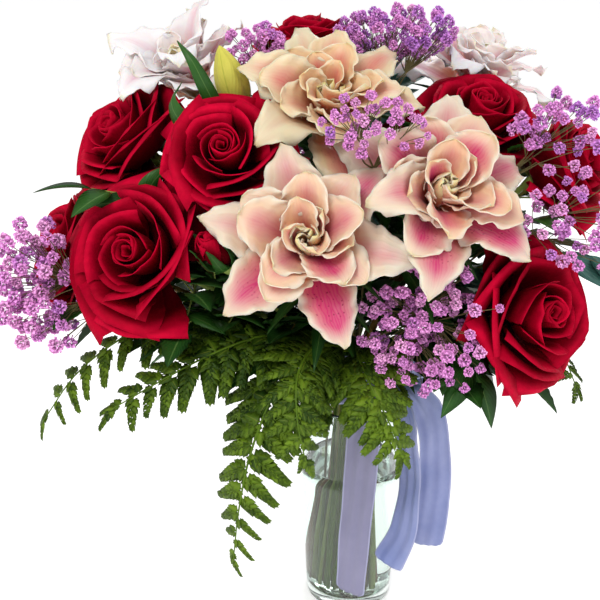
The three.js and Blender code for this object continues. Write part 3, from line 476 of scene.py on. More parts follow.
def satin_finish():
    finish, tree, shader = new_finish("ribbon", Roughness=0.3, Sheen_Weight=0.15, Sheen_Roughness=0.3,
                                      Specular_IOR_Level=0.6, Anisotropic=0.6)
    across, along = uv_parts(tree)
    uneven = effect(tree, "mottle", Scale=25.0, Contrast=1.2)
    # The mottle moves each dye between a darker and a lighter shade: partly uneven dye, partly painted
    # sheen standing in for the light playing on satin.
    cool = blend(tree, uneven, (0.12, 0.175, 0.44), (0.34, 0.37, 0.62))
    grey = blend(tree, uneven, (0.17, 0.165, 0.29), (0.27, 0.26, 0.40))
    dyed = blend(tree, attribute(tree, "tone"), grey, cool)
    selvage = ramp(tree, across, [(0.90, 0.0), (0.93, 0.5)], smooth=False)
    tree.links.new(blend(tree, selvage, dyed, (0.48, 0.50, 0.74)), shader.inputs["Base Color"])
    ribs = maths(tree, "SINE", maths(tree, "MULTIPLY", along, 2 * math.pi * SATIN_RIBS))
    edge = ramp(tree, across, [(0.9, 0.0), (0.94, 1.0)])
    height = maths(tree, "ADD", maths(tree, "MULTIPLY", ribs, 0.25), edge)
    tree.links.new(bumped(tree, height, 0.25, 0.0003), shader.inputs["Normal"])
    shine = ramp(tree, uneven, [(0.2, 0.28), (0.8, 0.42)])
    tree.links.new(shine, shader.inputs["Roughness"])
    return finish


def clear_finish(name, colour, ior, marks):
    finish, tree, shader = new_finish(name, Roughness=0.01, IOR=ior, Transmission_Weight=1.0,
                                      Base_Color=(*colour, 1.0))
    ripple = effect(tree, "mottle", Scale=14.0, Contrast=1.0)
    tree.links.new(bumped(tree, ripple, marks, 0.001), shader.inputs["Normal"])
    return finish


FINISH["ribbon"] = satin_finish()
FINISH["glass"] = clear_finish("glass", (0.94, 0.99, 0.975), 1.48, 0.02)
FINISH["water"] = clear_finish("water", (0.95, 1.0, 0.965), 1.33, 0.0)
print("finishes:", len(FINISH))

# %% [markdown]
# ## The floor
#
# The bouquet stands on a plain white floor that reaches far past the picture. It isn't part of the object,
# so it is marked as stage. A little light of its own lets it run into the white sky without an edge.

# %% The floor
FLOOR_REACH = 60


def lay_floor(reach):
    finish, tree, shader = new_finish("studio_floor", Roughness=0.75, Emission_Strength=0.46,
                                      Emission_Color=(*WHITE, 1.0))
    uneven = ramp(tree, effect(tree, "mottle", Scale=3.0, Contrast=0.5), [(0.0, 0.86), (1.0, 0.9)])
    tree.links.new(uneven, shader.inputs["Base Color"])
    mesh = bpy.data.meshes.new("floor")
    corners = [(-reach, -reach, 0), (reach, -reach, 0), (reach, reach, 0), (-reach, reach, 0)]
    mesh.from_pydata(corners, [], [(0, 1, 2, 3)])
    mesh.materials.append(finish)
    floor = bpy.data.objects.new("floor", mesh)
    bpy.context.scene.collection.objects.link(floor)
    floor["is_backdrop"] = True


lay_floor(FLOOR_REACH)
print("floor:", 2 * FLOOR_REACH, "m across")

# %% [markdown]
# ## Sheets, tubes and copies
#
# Almost everything here is one of three things. A sheet is a curved grid of points, such as a petal; it
# gets its thickness from a Solidify modifier. A tube follows a line, such as a stem. A copy is a small
# shape placed many times, such as a leaflet. This cell makes the sheets: NumPy computes all points of a
# grid at once, and many grids go into one mesh, which is far quicker than an object for each petal.

# %% Sheets
class Sheets:
    """Curved grids of points that become one mesh, with a UV map and a few numbers for each sheet."""

    def __init__(self):
        self.points, self.faces, self.uv, self.values = [], [], [], {"tone": [], "blush": []}
        self.count = 0

    def add(self, grid, tone=0.5, blush=0.0, closed=False):
        rows, cols = grid.shape[:2]
        index = np.arange(rows * cols).reshape(rows, cols) + self.count
        right = np.roll(index, -1, axis=1) if closed else index[:, 1:]
        left = index if closed else index[:, :-1]
        quads = np.stack([left[:-1], right[:-1], right[1:], left[1:]], axis=-1).reshape(-1, 4)
        v, u = np.meshgrid(np.linspace(0, 1, rows), np.linspace(0, 1, cols), indexing="ij")
        self.points.append(grid.reshape(-1, 3))
        self.faces.extend(quads.tolist())
        self.uv.append(np.stack([u, v], axis=-1).reshape(-1, 2))
        for key, value in (("tone", tone), ("blush", blush)):
            self.values[key].append(np.full(rows * cols, value))
        self.count += rows * cols


def shown_mesh(name, points, faces, finish, uv=None, values=None, edges=()):
    mesh = bpy.data.meshes.new(name)
    mesh.from_pydata((np.asarray(points) * MM).tolist(), list(edges), list(faces))
    if finish is not None:
        mesh.materials.append(FINISH[finish])
    if uv is not None and faces:
        corner = np.zeros(len(mesh.loops), dtype=np.int32)
        mesh.loops.foreach_get("vertex_index", corner)
        layer = mesh.uv_layers.new(name="UVMap")
        layer.data.foreach_set("uv", np.asarray(uv)[corner].ravel())
    for key, value in (values or {}).items():
        mesh.attributes.new(key, "FLOAT", "POINT").data.foreach_set("value", np.asarray(value, float))
    if faces:
        mesh.shade_smooth()
    piece = bpy.data.objects.new(name, mesh)
    bpy.context.scene.collection.objects.link(piece)
    return piece


def made_plain(piece):
    """The piece with its modifiers' result as its own mesh."""
    bpy.context.view_layer.update()
    evaluated = piece.evaluated_get(bpy.context.evaluated_depsgraph_get())
    result = bpy.data.meshes.new_from_object(evaluated)
    old = piece.data
    piece.modifiers.clear()
    piece.data = result
    result.name = piece.name
    bpy.data.meshes.remove(old)
    return piece


def sheet_piece(name, sheets, finish, thickness):
    values = {key: np.concatenate(parts) for key, parts in sheets.values.items()}
    piece = shown_mesh(name, np.concatenate(sheets.points), sheets.faces, finish,
                       np.concatenate(sheets.uv), values)
    if thickness:
        solid = piece.modifiers.new("thickness", "SOLIDIFY")
        solid.thickness, solid.offset, solid.use_even_offset = thickness * MM, 0.0, False
        made_plain(piece)
    return piece


def joined(pieces):
    whole = pieces[0]
    if len(pieces) > 1:
        with bpy.context.temp_override(active_object=whole, object=whole, selected_objects=pieces,
                                       selected_editable_objects=pieces):
            bpy.ops.object.join()
    return whole


print("sheets carry:", ", ".join(Sheets().values))

# %% [markdown]
# ## Tubes and copies by Geometry Nodes
#
# Stems, stalks and threads could be curve objects with a bevel, and leaflets could be linked objects. Here
# two Geometry Nodes trees do both: one sweeps a circle along the edges of a mesh, as thick as its radius
# attribute says, and one puts a copy on every point, turned and sized by the point's own attributes. The
# result is then kept as a plain mesh, so that it looks the same in every program.

# %% Tubes and copies by Geometry Nodes
def new_tree(name, inputs):
    tree = bpy.data.node_groups.new(name, "GeometryNodeTree")
    tree.interface.new_socket("Geometry", in_out="INPUT", socket_type="NodeSocketGeometry")
    for label, kind in inputs:
        tree.interface.new_socket(label, in_out="INPUT", socket_type=kind)
    tree.interface.new_socket("Geometry", in_out="OUTPUT", socket_type="NodeSocketGeometry")
    return tree, tree.nodes.new("NodeGroupInput"), tree.nodes.new("NodeGroupOutput")


def tube_tree():
    tree, given, out = new_tree("tube_along_line", [("Sides", "NodeSocketInt"),
                                                    ("Finish", "NodeSocketMaterial")])
    line = add_node(tree, "GeometryNodeMeshToCurve", {"Mesh": given.outputs["Geometry"]}).outputs[0]
    radius = add_node(tree, "GeometryNodeInputNamedAttribute", {"Name": "radius"}, data_type="FLOAT")
    circle = add_node(tree, "GeometryNodeCurvePrimitiveCircle", {"Resolution": given.outputs["Sides"],
                                                                 "Radius": 1.0})
    sweep = add_node(tree, "GeometryNodeCurveToMesh", {"Curve": line, "Fill Caps": True,
                                                       "Profile Curve": circle.outputs[0]})
    if "Scale" in sweep.inputs:
        tree.links.new(radius.outputs[0], sweep.inputs["Scale"])
    else:
        sized = add_node(tree, "GeometryNodeSetCurveRadius", {"Curve": line, "Radius": radius.outputs[0]})
        tree.links.new(sized.outputs[0], sweep.inputs["Curve"])
    smooth = add_node(tree, "GeometryNodeSetShadeSmooth", {0: sweep.outputs[0]})
    real = add_node(tree, "GeometryNodeRealizeInstances", {0: smooth.outputs[0]})
    finished = add_node(tree, "GeometryNodeSetMaterial", {"Geometry": real.outputs[0],
                                                          "Material": given.outputs["Finish"]})
    tree.links.new(finished.outputs[0], out.inputs[0])
    return tree


def copies_tree():
    tree, given, out = new_tree("copies_on_points", [("Copy", "NodeSocketObject"),
                                                     ("Finish", "NodeSocketMaterial")])
    copy = add_node(tree, "GeometryNodeObjectInfo", {"Object": given.outputs["Copy"]})
    turn = add_node(tree, "GeometryNodeInputNamedAttribute", {"Name": "turn"}, data_type="QUATERNION")
    size = add_node(tree, "GeometryNodeInputNamedAttribute", {"Name": "size"}, data_type="FLOAT")
    placed = add_node(tree, "GeometryNodeInstanceOnPoints", {
        "Points": given.outputs["Geometry"], "Instance": copy.outputs["Geometry"],
        "Rotation": turn.outputs[0], "Scale": size.outputs[0]})
    real = add_node(tree, "GeometryNodeRealizeInstances", {0: placed.outputs[0]})
    finished = add_node(tree, "GeometryNodeSetMaterial", {"Geometry": real.outputs[0],
                                                          "Material": given.outputs["Finish"]})
    tree.links.new(finished.outputs[0], out.inputs[0])
    return tree


TREES = {"tube": tube_tree(), "copies": copies_tree()}


def grow(piece, tree, **inputs):
    """Runs a Geometry Nodes tree on the piece and keeps its result as a plain mesh."""
    modifier = piece.modifiers.new(tree, "NODES")
    modifier.node_group = TREES[tree]
    for item in modifier.node_group.interface.items_tree:
        if item.in_out == "INPUT" and item.name in inputs:
            modifier[item.identifier] = inputs[item.name]
    return made_plain(piece)


def tube_piece(name, lines, finish, sides=8, tone=0.5):
    """lines: a list of (points, radii), all in millimetres."""
    points, edges, radii, start = [], [], [], 0
    for line, radius in lines:
        points.append(np.asarray(line, float))
        radii.append(np.broadcast_to(np.asarray(radius, float), (len(line),)) * MM)
        edges.extend((start + i, start + i + 1) for i in range(len(line) - 1))
        start += len(line)
    values = {"radius": np.concatenate(radii), "tone": np.full(start, tone)}
    piece = shown_mesh(name, np.concatenate(points), [], None, values=values, edges=edges)
    return grow(piece, "tube", Sides=sides, Finish=FINISH[finish])


def copies_piece(name, copy, places, finish):
    """places: a list of (matrix in millimetres with an unscaled turn, size, tone)."""
    points = [m.translation for m, _, _ in places]
    values = {"size": [s for _, s, _ in places], "tone": [t for _, _, t in places]}
    piece = shown_mesh(name, points, [], None, values=values)
    turns = np.array([tuple(m.to_quaternion()) for m, _, _ in places])
    piece.data.attributes.new("turn", "QUATERNION", "POINT").data.foreach_set("value", turns.ravel())
    return grow(piece, "copies", Copy=copy, Finish=FINISH[finish])


print("trees:", ", ".join(TREES))

# %% [markdown]
# ## Where things are
#
# A flower's frame has its Z axis along the way the flower faces, and a leaf's has its X axis along the
# leaf. Stems and ribbons follow smooth lines through a few points. Those are Catmull-Rom curves, because
# they pass through every point, while a Bezier curve, which suits a petal's outline, only leans to them.

# %% Frames and lines
def unit(vector):
    vector = np.asarray(vector, float)
    return vector / max(np.linalg.norm(vector), 1e-9)


def frame_at(origin, axis, side=None):
    z = unit(axis)
    x = np.cross((0, 0, 1) if side is None else side, z)
    x = unit(x) if np.linalg.norm(x) > 1e-3 else np.array((1.0, 0, 0))
    return np.stack([x, np.cross(z, x), z], axis=1), np.asarray(origin, float)


def in_frame(place, grid):
    turn, origin = place
    return grid @ turn.T + origin


def placed_matrix(origin, along, up):
    """A turn whose X runs along a leaf and whose Z is its upper side."""
    x = unit(along)
    y = np.cross(up, x)
    y = unit(y) if np.linalg.norm(y) > 1e-3 else unit(np.cross((0.3, 0.9, 0.1), x))
    z = np.cross(x, y)
    matrix = Matrix(np.stack([x, y, z], axis=1).tolist()).to_4x4()
    matrix.translation = Vector([float(c) for c in origin])
    return matrix


def smooth_line(points, count):
    """A centripetal Catmull-Rom curve through the points."""
    p = np.asarray(points, float)
    p = np.vstack([2 * p[0] - p[1], p, 2 * p[-1] - p[-2]])
    gaps = np.maximum(np.linalg.norm(np.diff(p, axis=0), axis=1) ** 0.5, 1e-4)
    out = []
    for t in np.linspace(0, len(points) - 1, count):
        i = min(int(t), len(points) - 2)
        s = t - i
        (a, b, c, d), (ga, gb, gc) = p[i:i + 4], gaps[i:i + 3]
        before = ((b - a) / ga - (c - a) / (ga + gb) + (c - b) / gb) * gb
        after = ((c - b) / gb - (d - b) / (gb + gc) + (d - c) / gc) * gb
        out.append(b + before * s + (3 * (c - b) - 2 * before - after) * s ** 2
                   + (2 * (b - c) + before + after) * s ** 3)
    return np.array(out)


def bezier(profile, t):
    p, t = np.asarray(profile, float), np.asarray(t, float)[..., None]
    s = 1 - t
    return s ** 3 * p[0] + 3 * s * s * t * p[1] + 3 * s * t * t * p[2] + t ** 3 * p[3]


print("a curve through (0, 0), (1, 1), (2, 0) is at", smooth_line([(0, 0), (1, 1), (2, 0)], 3)[1].tolist())

# %% [markdown]
# ## Reading the plain stems
#
# The plain model already holds every stem's course, so it is read back instead of written down twice. A
# plain stem is a tube of rings of points: walking from ring to ring gives the middle line and the
# thickness. The fronds, twigs and sprays are one solid with their side branches, where that walk would
# lose its way, so the lower part of their stems is found by level cuts.

# %% Reading the plain stems
LOWEST_RING = 20
INSIDE_VASE = 44


def merged_node(name):
    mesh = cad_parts[name].data
    co = np.zeros(len(mesh.vertices) * 3)
    mesh.vertices.foreach_get("co", co)
    co = co.reshape(-1, 3) / MM
    _, first, same = np.unique(np.round(co, 2), axis=0, return_index=True, return_inverse=True)
    faces = [[int(same.ravel()[v]) for v in polygon.vertices] for polygon in mesh.polygons]
    return co[first], faces


def stem_rings(name):
    """The middle of each ring of a plain stem, from its foot up, and the ring's radius."""
    points, faces = merged_node(name)
    near = [set() for _ in points]
    for face in faces:
        for a in face:
            near[a].update(face)
    ring = set(np.flatnonzero(points[:, 2] < points[:, 2].min() + LOWEST_RING).tolist())
    seen, rings = set(), []
    while ring:
        rings.append(sorted(ring))
        seen |= ring
        ring = set().union(*(near[i] for i in ring)) - seen
    middles = np.array([points[r].mean(axis=0) for r in rings])
    radii = np.array([np.linalg.norm(points[r] - m, axis=1).mean() for r, m in zip(rings, middles)])
    return middles, radii


def stem_slices(name, top, step=12.0):
    """The middle line of a plain stem up to a height, from level cuts inside the vase's width."""
    points, faces = merged_node(name)
    tris = np.array([points[f[:3]] for f in faces])
    low, high = tris[:, :, 2].min(axis=1), tris[:, :, 2].max(axis=1)
    line = []
    for z in np.arange(points[:, 2].min() + 0.5, top, step):
        cut = tris[(low < z) & (high > z)]
        ends = []
        for a, b in ((0, 1), (1, 2), (2, 0)):
            p, q = cut[:, a], cut[:, b]
            cross = (p[:, 2] - z) * (q[:, 2] - z) < 0
            s = ((z - p[cross, 2]) / (q[cross, 2] - p[cross, 2]))[:, None]
            ends.append(p[cross] + s * (q[cross] - p[cross]))
        ends = np.vstack(ends)
        ends = ends[np.hypot(ends[:, 0], ends[:, 1]) < INSIDE_VASE]
        if len(ends):
            line.append(0.5 * (ends.min(axis=0) + ends.max(axis=0)))
    return np.array(line)


print("a stem has", len(stem_rings("rose_left_front_stem")[1]), "rings")

# %% [markdown]
# ## Petals
#
# A petal's middle line is a Bezier curve of radius and height over the flower's base, and the petal wraps
# round the flower's axis by its own width. The plain flowers have three layers of petals; the layers in
# between are blends of those. One side of each petal is tucked under its neighbour, and the rim rolls
# out. Three waves of rising number give a petal its ruffles, its frill and the fine frill at its rim. A
# formula is used instead of sculpting, because every petal then differs by a few numbers only.

# %% One petal
ROSE_LAYERS = [
    {"profile": [[6, 12], [17, 14], [17, 40], [14, 50]], "half_width": 20, "tilt": 0.2, "roll": 1,
     "lip": 1},
    {"profile": [[6, 7], [28, 3], [28, 36], [31, 48]], "half_width": 29, "tilt": 0.15, "roll": 6,
     "lip": 5},
    {"profile": [[6, 2], [36, -8], [43, 28], [53, 35]], "half_width": 38, "tilt": 0.14, "roll": 13,
     "lip": 7},
]
LILY_LAYERS = [
    {"profile": [[5, 14], [12, 28], [16, 44], [22, 55]], "half_width": 17, "tilt": 0.3, "roll": -2,
     "lip": 2, "full": 1.9, "blunt": 0.55},
    {"profile": [[5, 8], [14, 26], [34, 48], [54, 52]], "half_width": 25, "tilt": 0.25, "roll": -2,
     "lip": 4, "full": 1.6, "blunt": 0.65},
    {"profile": [[5, 2], [24, 14], [52, 42], [87, 24]], "half_width": 27, "tilt": 0.16, "roll": 3,
     "lip": 8, "full": 1.05, "blunt": 0.95},
]
ROSE_SHAPE = {"round": 0.15, "point": 0.10, "ruffle": 1.2, "frill": 0.3, "ragged": 0.015, "groove": 0.0,
              "rows": 13, "cols": 13, "least": 7, "ways": [(0.0, 0.0)]}
LILY_SHAPE = {"round": 0.0, "point": 0.0, "ruffle": 4.2, "frill": 3.0, "ragged": 0.06, "groove": 2.4,
              "rows": 37, "cols": 11, "least": 9,
              "ways": [(0.0, 0), (0.2, 0), (0.4, 0), (0.6, 0), (0.8, 0),
                       (0.0, 4), (0.5, 4), (0.0, -4), (0.5, -4)]}
WAVE = 6.3


def rounded(v, layer):
    return 0.18 + 0.82 * np.sin(np.minimum(1, 1.15 * v) * np.pi / 2) ** 1.4


def pointed(v, layer):
    swell = np.sin(np.pi * np.clip(v, 0, 1) ** layer["full"]) ** layer["blunt"]
    return 0.22 * (1 - v) + 0.05 * v + 0.84 * swell


def layer_between(layers, depth):
    """The layer at a depth from 0, at the heart, to 1, outside."""
    place = depth * (len(layers) - 1)
    i = min(int(place), len(layers) - 2)
    share = place - i
    return {key: (1 - share) * np.asarray(layers[i][key], float)
            + share * np.asarray(layers[i + 1][key], float) for key in layers[i]}


def petal_grid(shape, width, layer, angle, scale, lift=0.0, reach=1.0, phase=0.0):
    v = np.linspace(0, 1, shape["rows"])[:, None]
    u = np.linspace(-1, 1, shape["cols"])[None, :]
    along = v * (1 - shape["round"] * u ** 2 + shape["point"] * np.exp(-(u / 0.2) ** 2) * v ** 4)

    def middle_line(s):
        radius, height = np.moveaxis(bezier(layer["profile"], s * reach), -1, 0)
        cos, sin = math.cos(lift), math.sin(lift)
        return np.maximum(radius * cos - height * sin, 1), height * cos + radius * sin

    radius, height = middle_line(along)
    far_radius, far_height = middle_line(along + 0.01)
    step = np.hypot(far_radius - radius, far_height - height) + 1e-9
    ahead_radius, ahead_height = (far_radius - radius) / step, (far_height - height) / step
    ragged = 1 + shape["ragged"] * np.sin(WAVE * (7 * v + phase))
    half = layer["half_width"] * reach * width(v, layer) * ragged
    turn = angle + u * half / np.maximum(radius, shape["least"])
    edge = np.abs(u)
    out = layer["tilt"] * u * (0.4 * layer["half_width"] + 0.6 * half) + layer["roll"] * edge ** 3 * v ** 2
    out = out + layer["lip"] * np.clip((v - 0.7) / 0.3, 0, 1) ** 2
    ruffles = np.sin(WAVE * (2.4 * v + phase) + 2.0 * u)
    frills = np.sin(WAVE * (5.5 * v + 1.7 * phase) + 1.2 * np.sign(u))
    fine_frills = np.sin(WAVE * (9.5 * v + 2.3 * phase) + 2.0 * u)
    out = out + shape["ruffle"] * edge ** 1.6 * ruffles * np.sqrt(v)
    out = out + shape["frill"] * edge ** 4 * frills * v ** 0.4
    out = out + 0.5 * shape["frill"] * edge ** 6 * fine_frills * v ** 0.4
    out = out + shape["groove"] * (1 - edge) ** 2 * np.sin(np.pi * v) ** 0.7
    radius, height = radius + ahead_height * out, height - ahead_radius * out
    return scale * np.stack([radius * np.cos(turn), radius * np.sin(turn), height + 0 * turn], axis=-1)


print("points of a petal:", ROSE_SHAPE["rows"] * ROSE_SHAPE["cols"], "in a rose,",
      LILY_SHAPE["rows"] * LILY_SHAPE["cols"], "in a lily")

# %% [markdown]
# ## Petals that keep clear of each other
#
# Real petals push each other aside. A cloth simulation could do that, but would take minutes for each
# flower. Here each petal is tried as it would grow, and then tipped up or down or shortened until it is
# clear of the flowers beside it, which a bounding volume tree tests quickly. A lily's petals are so
# ruffled that they would also cut through their own neighbours: each is grown in nine ways, with other
# ruffles or a little more or less nod, and the way that cuts least into the flower so far is kept. Near
# the base all petals meet, so only the outer three fifths count. The innermost rings are far from other
# flowers and skip the first test.

# %% Petals that keep clear of each other
PLACED = []
LIFTS = [0, 7, -7, 14, -14, 21, 28, 36, 44]
REACHES = (1.0, 0.86, 0.72)
INNER_LENGTHS, OUTER_LENGTHS = (0.92, 1.04), (0.97, 1.05)
HEART_DEPTH = 0.4


def grid_faces(rows, cols):
    index = np.arange(rows * cols).reshape(rows, cols)
    corners = [index[:-1, :-1], index[:-1, 1:], index[1:, 1:], index[1:, :-1]]
    return np.stack(corners, axis=-1).reshape(-1, 4).tolist()


def grid_tree(grid):
    return BVHTree.FromPolygons(grid.reshape(-1, 3).tolist(), grid_faces(*grid.shape[:2]))


def remember(name, points, faces):
    points = np.asarray(points)
    tree = BVHTree.FromPolygons(points.tolist(), faces)
    PLACED.append((name, tree, points.min(axis=0), points.max(axis=0)))


def crossings(grid, beside):
    tree = grid_tree(grid)
    return sum(len(tree.overlap(other)) for other in beside)


def fitted_petal(make, place, beside):
    """The first way of growing that is clear of what is beside it, or else the least bad one."""
    best = None
    for reach in REACHES:
        for lift in LIFTS:
            grid = in_frame(place, make(math.radians(lift), reach))
            count = crossings(grid, beside) if beside else 0
            if count == 0:
                return grid
            if best is None or count < best[0]:
                best = (count, grid)
    return best[1]


def outer_part(grid):
    return grid[len(grid) * 2 // 5:]


def clearest(grids, grown):
    """Of several ways to grow a petal, the one whose outer part cuts least into its own flower."""
    if not grown:
        return grids[0]
    return min(grids, key=lambda grid: crossings(outer_part(grid), grown))


def grow_bloom(flower, place, scale, rings, layers, shape, width, tone_of, blush_of, seed):
    """Rings are rows of depth, number of petals, turn, narrowness and lean, from the heart outwards."""
    rng = np.random.default_rng(seed)
    centre, size = np.array(flower["centre"]), 1.25 * flower["radius"]
    beside = [tree for name, tree, low, high in PLACED
              if not name.startswith(flower["name"]) and (low < centre + size).all()
              and (high > centre - size).all()]
    sheets, grown = Sheets(), []
    for depth, count, turn, narrow, lean in rings:
        layer = layer_between(layers, depth)
        ring_shape = dict(shape, ruffle=shape["ruffle"] * (0.3 + 0.7 * depth),
                          frill=shape["frill"] * (0.1 + 0.9 * depth))
        layer["profile"] = layer["profile"] * np.array([narrow, 1.0])
        for k in range(count):
            angle = math.radians(flower["turn"] + turn + 360 * k / count + rng.uniform(-5, 5))
            phase, nod = rng.uniform(), math.radians(lean + rng.uniform(-3, 3))
            share = rng.uniform(*(INNER_LENGTHS if depth < 1 else OUTER_LENGTHS))
            own = dict(layer)
            own["half_width"] = layer["half_width"] * rng.uniform(0.88, 1.06)
            own["lip"] = layer["lip"] * rng.uniform(0.5, 1.5)

            def one_way(more, lean_more):
                def make(lift, reach):
                    return petal_grid(ring_shape, width, own, angle, scale, lift + nod + lean_more,
                                      share * reach, phase + more)

                return fitted_petal(make, place, beside if depth > HEART_DEPTH else [])

            grids = [one_way(more, math.radians(lean_more)) for more, lean_more in shape["ways"]]
            grid = clearest(grids, grown)
            grown.append(grid_tree(outer_part(grid)))
            sheets.add(grid, tone=tone_of(depth, rng), blush=blush_of(grid, depth, rng))
    return sheets


print("ways to fit a petal:", len(LIFTS) * len(REACHES))

# %% [markdown]
# ## Roses
#
# A rose's heart is one long petal rolled into a spiral. Six rings with 23 petals follow, tight and upright
# inside, broad and rolled over outside. The table gives each rose its place, the way it faces, its radius
# and its turn. Radii and turns differ, because flowers of one bunch open at their own pace.

# %% Roses
ROSES = [
    ("rose_left_front", (-176, -112, 394), (-0.34, -0.82, 0.46), 56, 20),
    ("rose_right_front", (142, -102, 341), (0.56, -0.77, 0.3), 55, 101),
    ("rose_left_inner", (-108, -92, 470), (-0.12, -0.8, 0.58), 47, 0),
    ("rose_left_high", (-200, -22, 472), (-0.6, -0.42, 0.67), 48, 40),
    ("rose_right_high", (108, 8, 486), (0.12, -0.52, 0.84), 46, 10),
    ("rose_far_right", (174, -26, 448), (0.66, -0.48, 0.58), 50, 50),
    ("rose_far_left", (-254, -26, 374), (-0.82, -0.4, 0.4), 47, 15),
    ("rose_top_back", (-44, 88, 542), (-0.1, 0, 0.99), 45, 30),
    ("rose_back_right", (78, 128, 430), (0.4, 0.8, 0.44), 47, 5),
    ("rose_back_left", (-128, 104, 428), (-0.55, 0.74, 0.4), 47, 55),
]
BRIGHT = {"rose_left_inner": 0.35}
ROSE_RADIUS = 50
BLOOM_DEPTH = 28
HEART_TURNS = 2.3
ROSE_THICKNESS, LILY_THICKNESS = 0.5, 0.7
ROSE_RINGS = [(0.0, 3, 10, 0.62, 0), (0.14, 3, 70, 0.85, 0), (0.34, 3, 20, 0.98, 0), (0.56, 4, 45, 1.0, 0),
              (0.78, 5, 10, 1.0, -1), (1.0, 5, 40, 1.0, -4)]


def as_flower(row):
    return dict(zip(("name", "centre", "facing", "radius", "turn"), row))


def bloom_place(flower, depth):
    axis = unit(flower["facing"])
    return frame_at(np.array(flower["centre"]) - depth * axis, axis)


def rose_heart(place, scale, turn, sheets):
    v = np.linspace(0, 1, 8)[:, None]
    s = np.linspace(0, 1, 60)[None, :]
    swirl = math.radians(turn) + 2 * np.pi * HEART_TURNS * s
    radius = (1.2 + 8.0 * s) * (0.8 + 0.2 * v) + 1.4 * np.clip((v - 0.75) / 0.25, 0, 1) ** 2
    height = 14 + (31 + 5 * s + 1.5 * np.sin(3.1 * swirl)) * v
    grid = scale * np.stack([radius * np.cos(swirl), radius * np.sin(swirl), height], axis=-1)
    sheets.add(in_frame(place, grid), tone=0.25)


def finish_piece(piece, slot, *nodes):
    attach(piece, "root")
    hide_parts(*nodes)
    return piece


def bloom_piece(flower, sheets, finish, slot, thickness):
    remember(flower["name"], np.concatenate(sheets.points), sheets.faces)
    piece = sheet_piece(flower["name"] + "_petals", sheets, finish, thickness)
    return finish_piece(piece, slot, flower["name"] + "_bloom")


def make_rose(row, seed):
    rose = as_flower(row)
    scale = rose["radius"] / ROSE_RADIUS
    place = bloom_place(rose, BLOOM_DEPTH * scale)
    sheets = grow_bloom(rose, place, scale, ROSE_RINGS, ROSE_LAYERS, ROSE_SHAPE, rounded,
                        lambda depth, rng: BRIGHT.get(rose["name"], 0.0) + rng.uniform(),
                        lambda *_: 0.0, seed)
    rose_heart(place, scale, rose["turn"], sheets)
    return bloom_piece(rose, sheets, "rose_petal", "rose_petal", ROSE_THICKNESS)


print("roses:", len(ROSES), "of", 1 + sum(ring[1] for ring in ROSE_RINGS), "petals")

# %% [markdown]
# ## Buds
#
# The rosebud is six petals wrapped round each other, each a little closer to the middle than the one
# before. The lily bud is a closed spindle with three deep and three shallow furrows where its petals meet,
# so it is one closed grid with a point at each end, and no thickness is needed.

# %% Buds
ROSE_BUD = {"name": "rose_bud", "centre": (-116, -128, 402), "facing": (-0.4, -0.5, 0.76), "length": 36}
LILY_BUD = {"name": "lily_bud", "centre": (-106, -40, 520), "facing": (-0.25, -0.35, 0.9), "length": 62}
BUD_PETALS = 6


def make_rose_bud():
    place = bloom_place(ROSE_BUD, ROSE_BUD["length"] / 2)
    layer = {"profile": np.array([[2.5, 0], [13, 4], [12, 24], [4, 35]], float), "half_width": 13.0,
             "tilt": 0.16, "roll": 1.0, "lip": 1.5}
    sheets = Sheets()
    for k in range(BUD_PETALS):
        narrow = dict(layer, profile=layer["profile"] * np.array([1 - 0.07 * k, 1.0]))
        grid = petal_grid(dict(ROSE_SHAPE, least=5), rounded, narrow, math.radians(130 * k), 1.0)
        sheets.add(in_frame(place, grid), tone=0.2 + 0.1 * k)
    return bloom_piece(ROSE_BUD, sheets, "rose_petal", "rose_petal", ROSE_THICKNESS)


def make_lily_bud(around=48):
    length = LILY_BUD["length"]
    place = bloom_place(LILY_BUD, length / 2)
    v = np.linspace(0.004, 0.996, 25)[:, None]
    s = np.linspace(0, 2 * np.pi, around, endpoint=False)[None, :]
    radius = 14.0 * np.sin(np.pi * v ** 0.8) ** 0.75 * (1 - 0.16 * np.abs(np.cos(1.5 * s)) ** 12
                                                        - 0.07 * np.abs(np.sin(1.5 * s)) ** 12)
    grid = np.stack([radius * np.cos(s), radius * np.sin(s), length * v + 0 * s], axis=-1)
    sheets = Sheets()
    sheets.add(in_frame(place, grid), tone=0.6, closed=True)
    sheets.uv[0][:, 0] = 0.5 + 0.5 * np.abs(2 * ((3 * sheets.uv[0][:, 0]) % 1) - 1)
    points = np.concatenate(sheets.points)
    ends = [in_frame(place, np.array([0, 0, z])) for z in (0.0, length)]
    count = len(points)
    last = count - around
    sheets.faces += [[(k + 1) % around, k, count] for k in range(around)]
    sheets.faces += [[last + k, last + (k + 1) % around, count + 1] for k in range(around)]
    sheets.points.append(np.array(ends))
    sheets.uv.append(np.array([[0.5, 0.0], [0.5, 1.0]]))
    for key in sheets.values:
        sheets.values[key].append(np.array([0.6, 0.6]))
    remember("lily_bud", np.concatenate(sheets.points), sheets.faces)
    piece = sheet_piece("lily_bud_petals", sheets, "lily_bud", 0)
    return finish_piece(piece, "lily_bud", "lily_bud_bloom")


print("bud lengths:", ROSE_BUD["length"], LILY_BUD["length"], "mm")

# %% [markdown]
# ## Lilies
#
# These are double lilies: six broad outer petals, of which the three that are the sepals lean further
# back, then rings of shorter petals, and a loose rosette in the middle where a single lily has its
# stamens. The blush is strongest on the petals that hang down. Each lily has its own finish, blush and
# way of opening, because in the bunch some are deep pink, some warm and some nearly white.

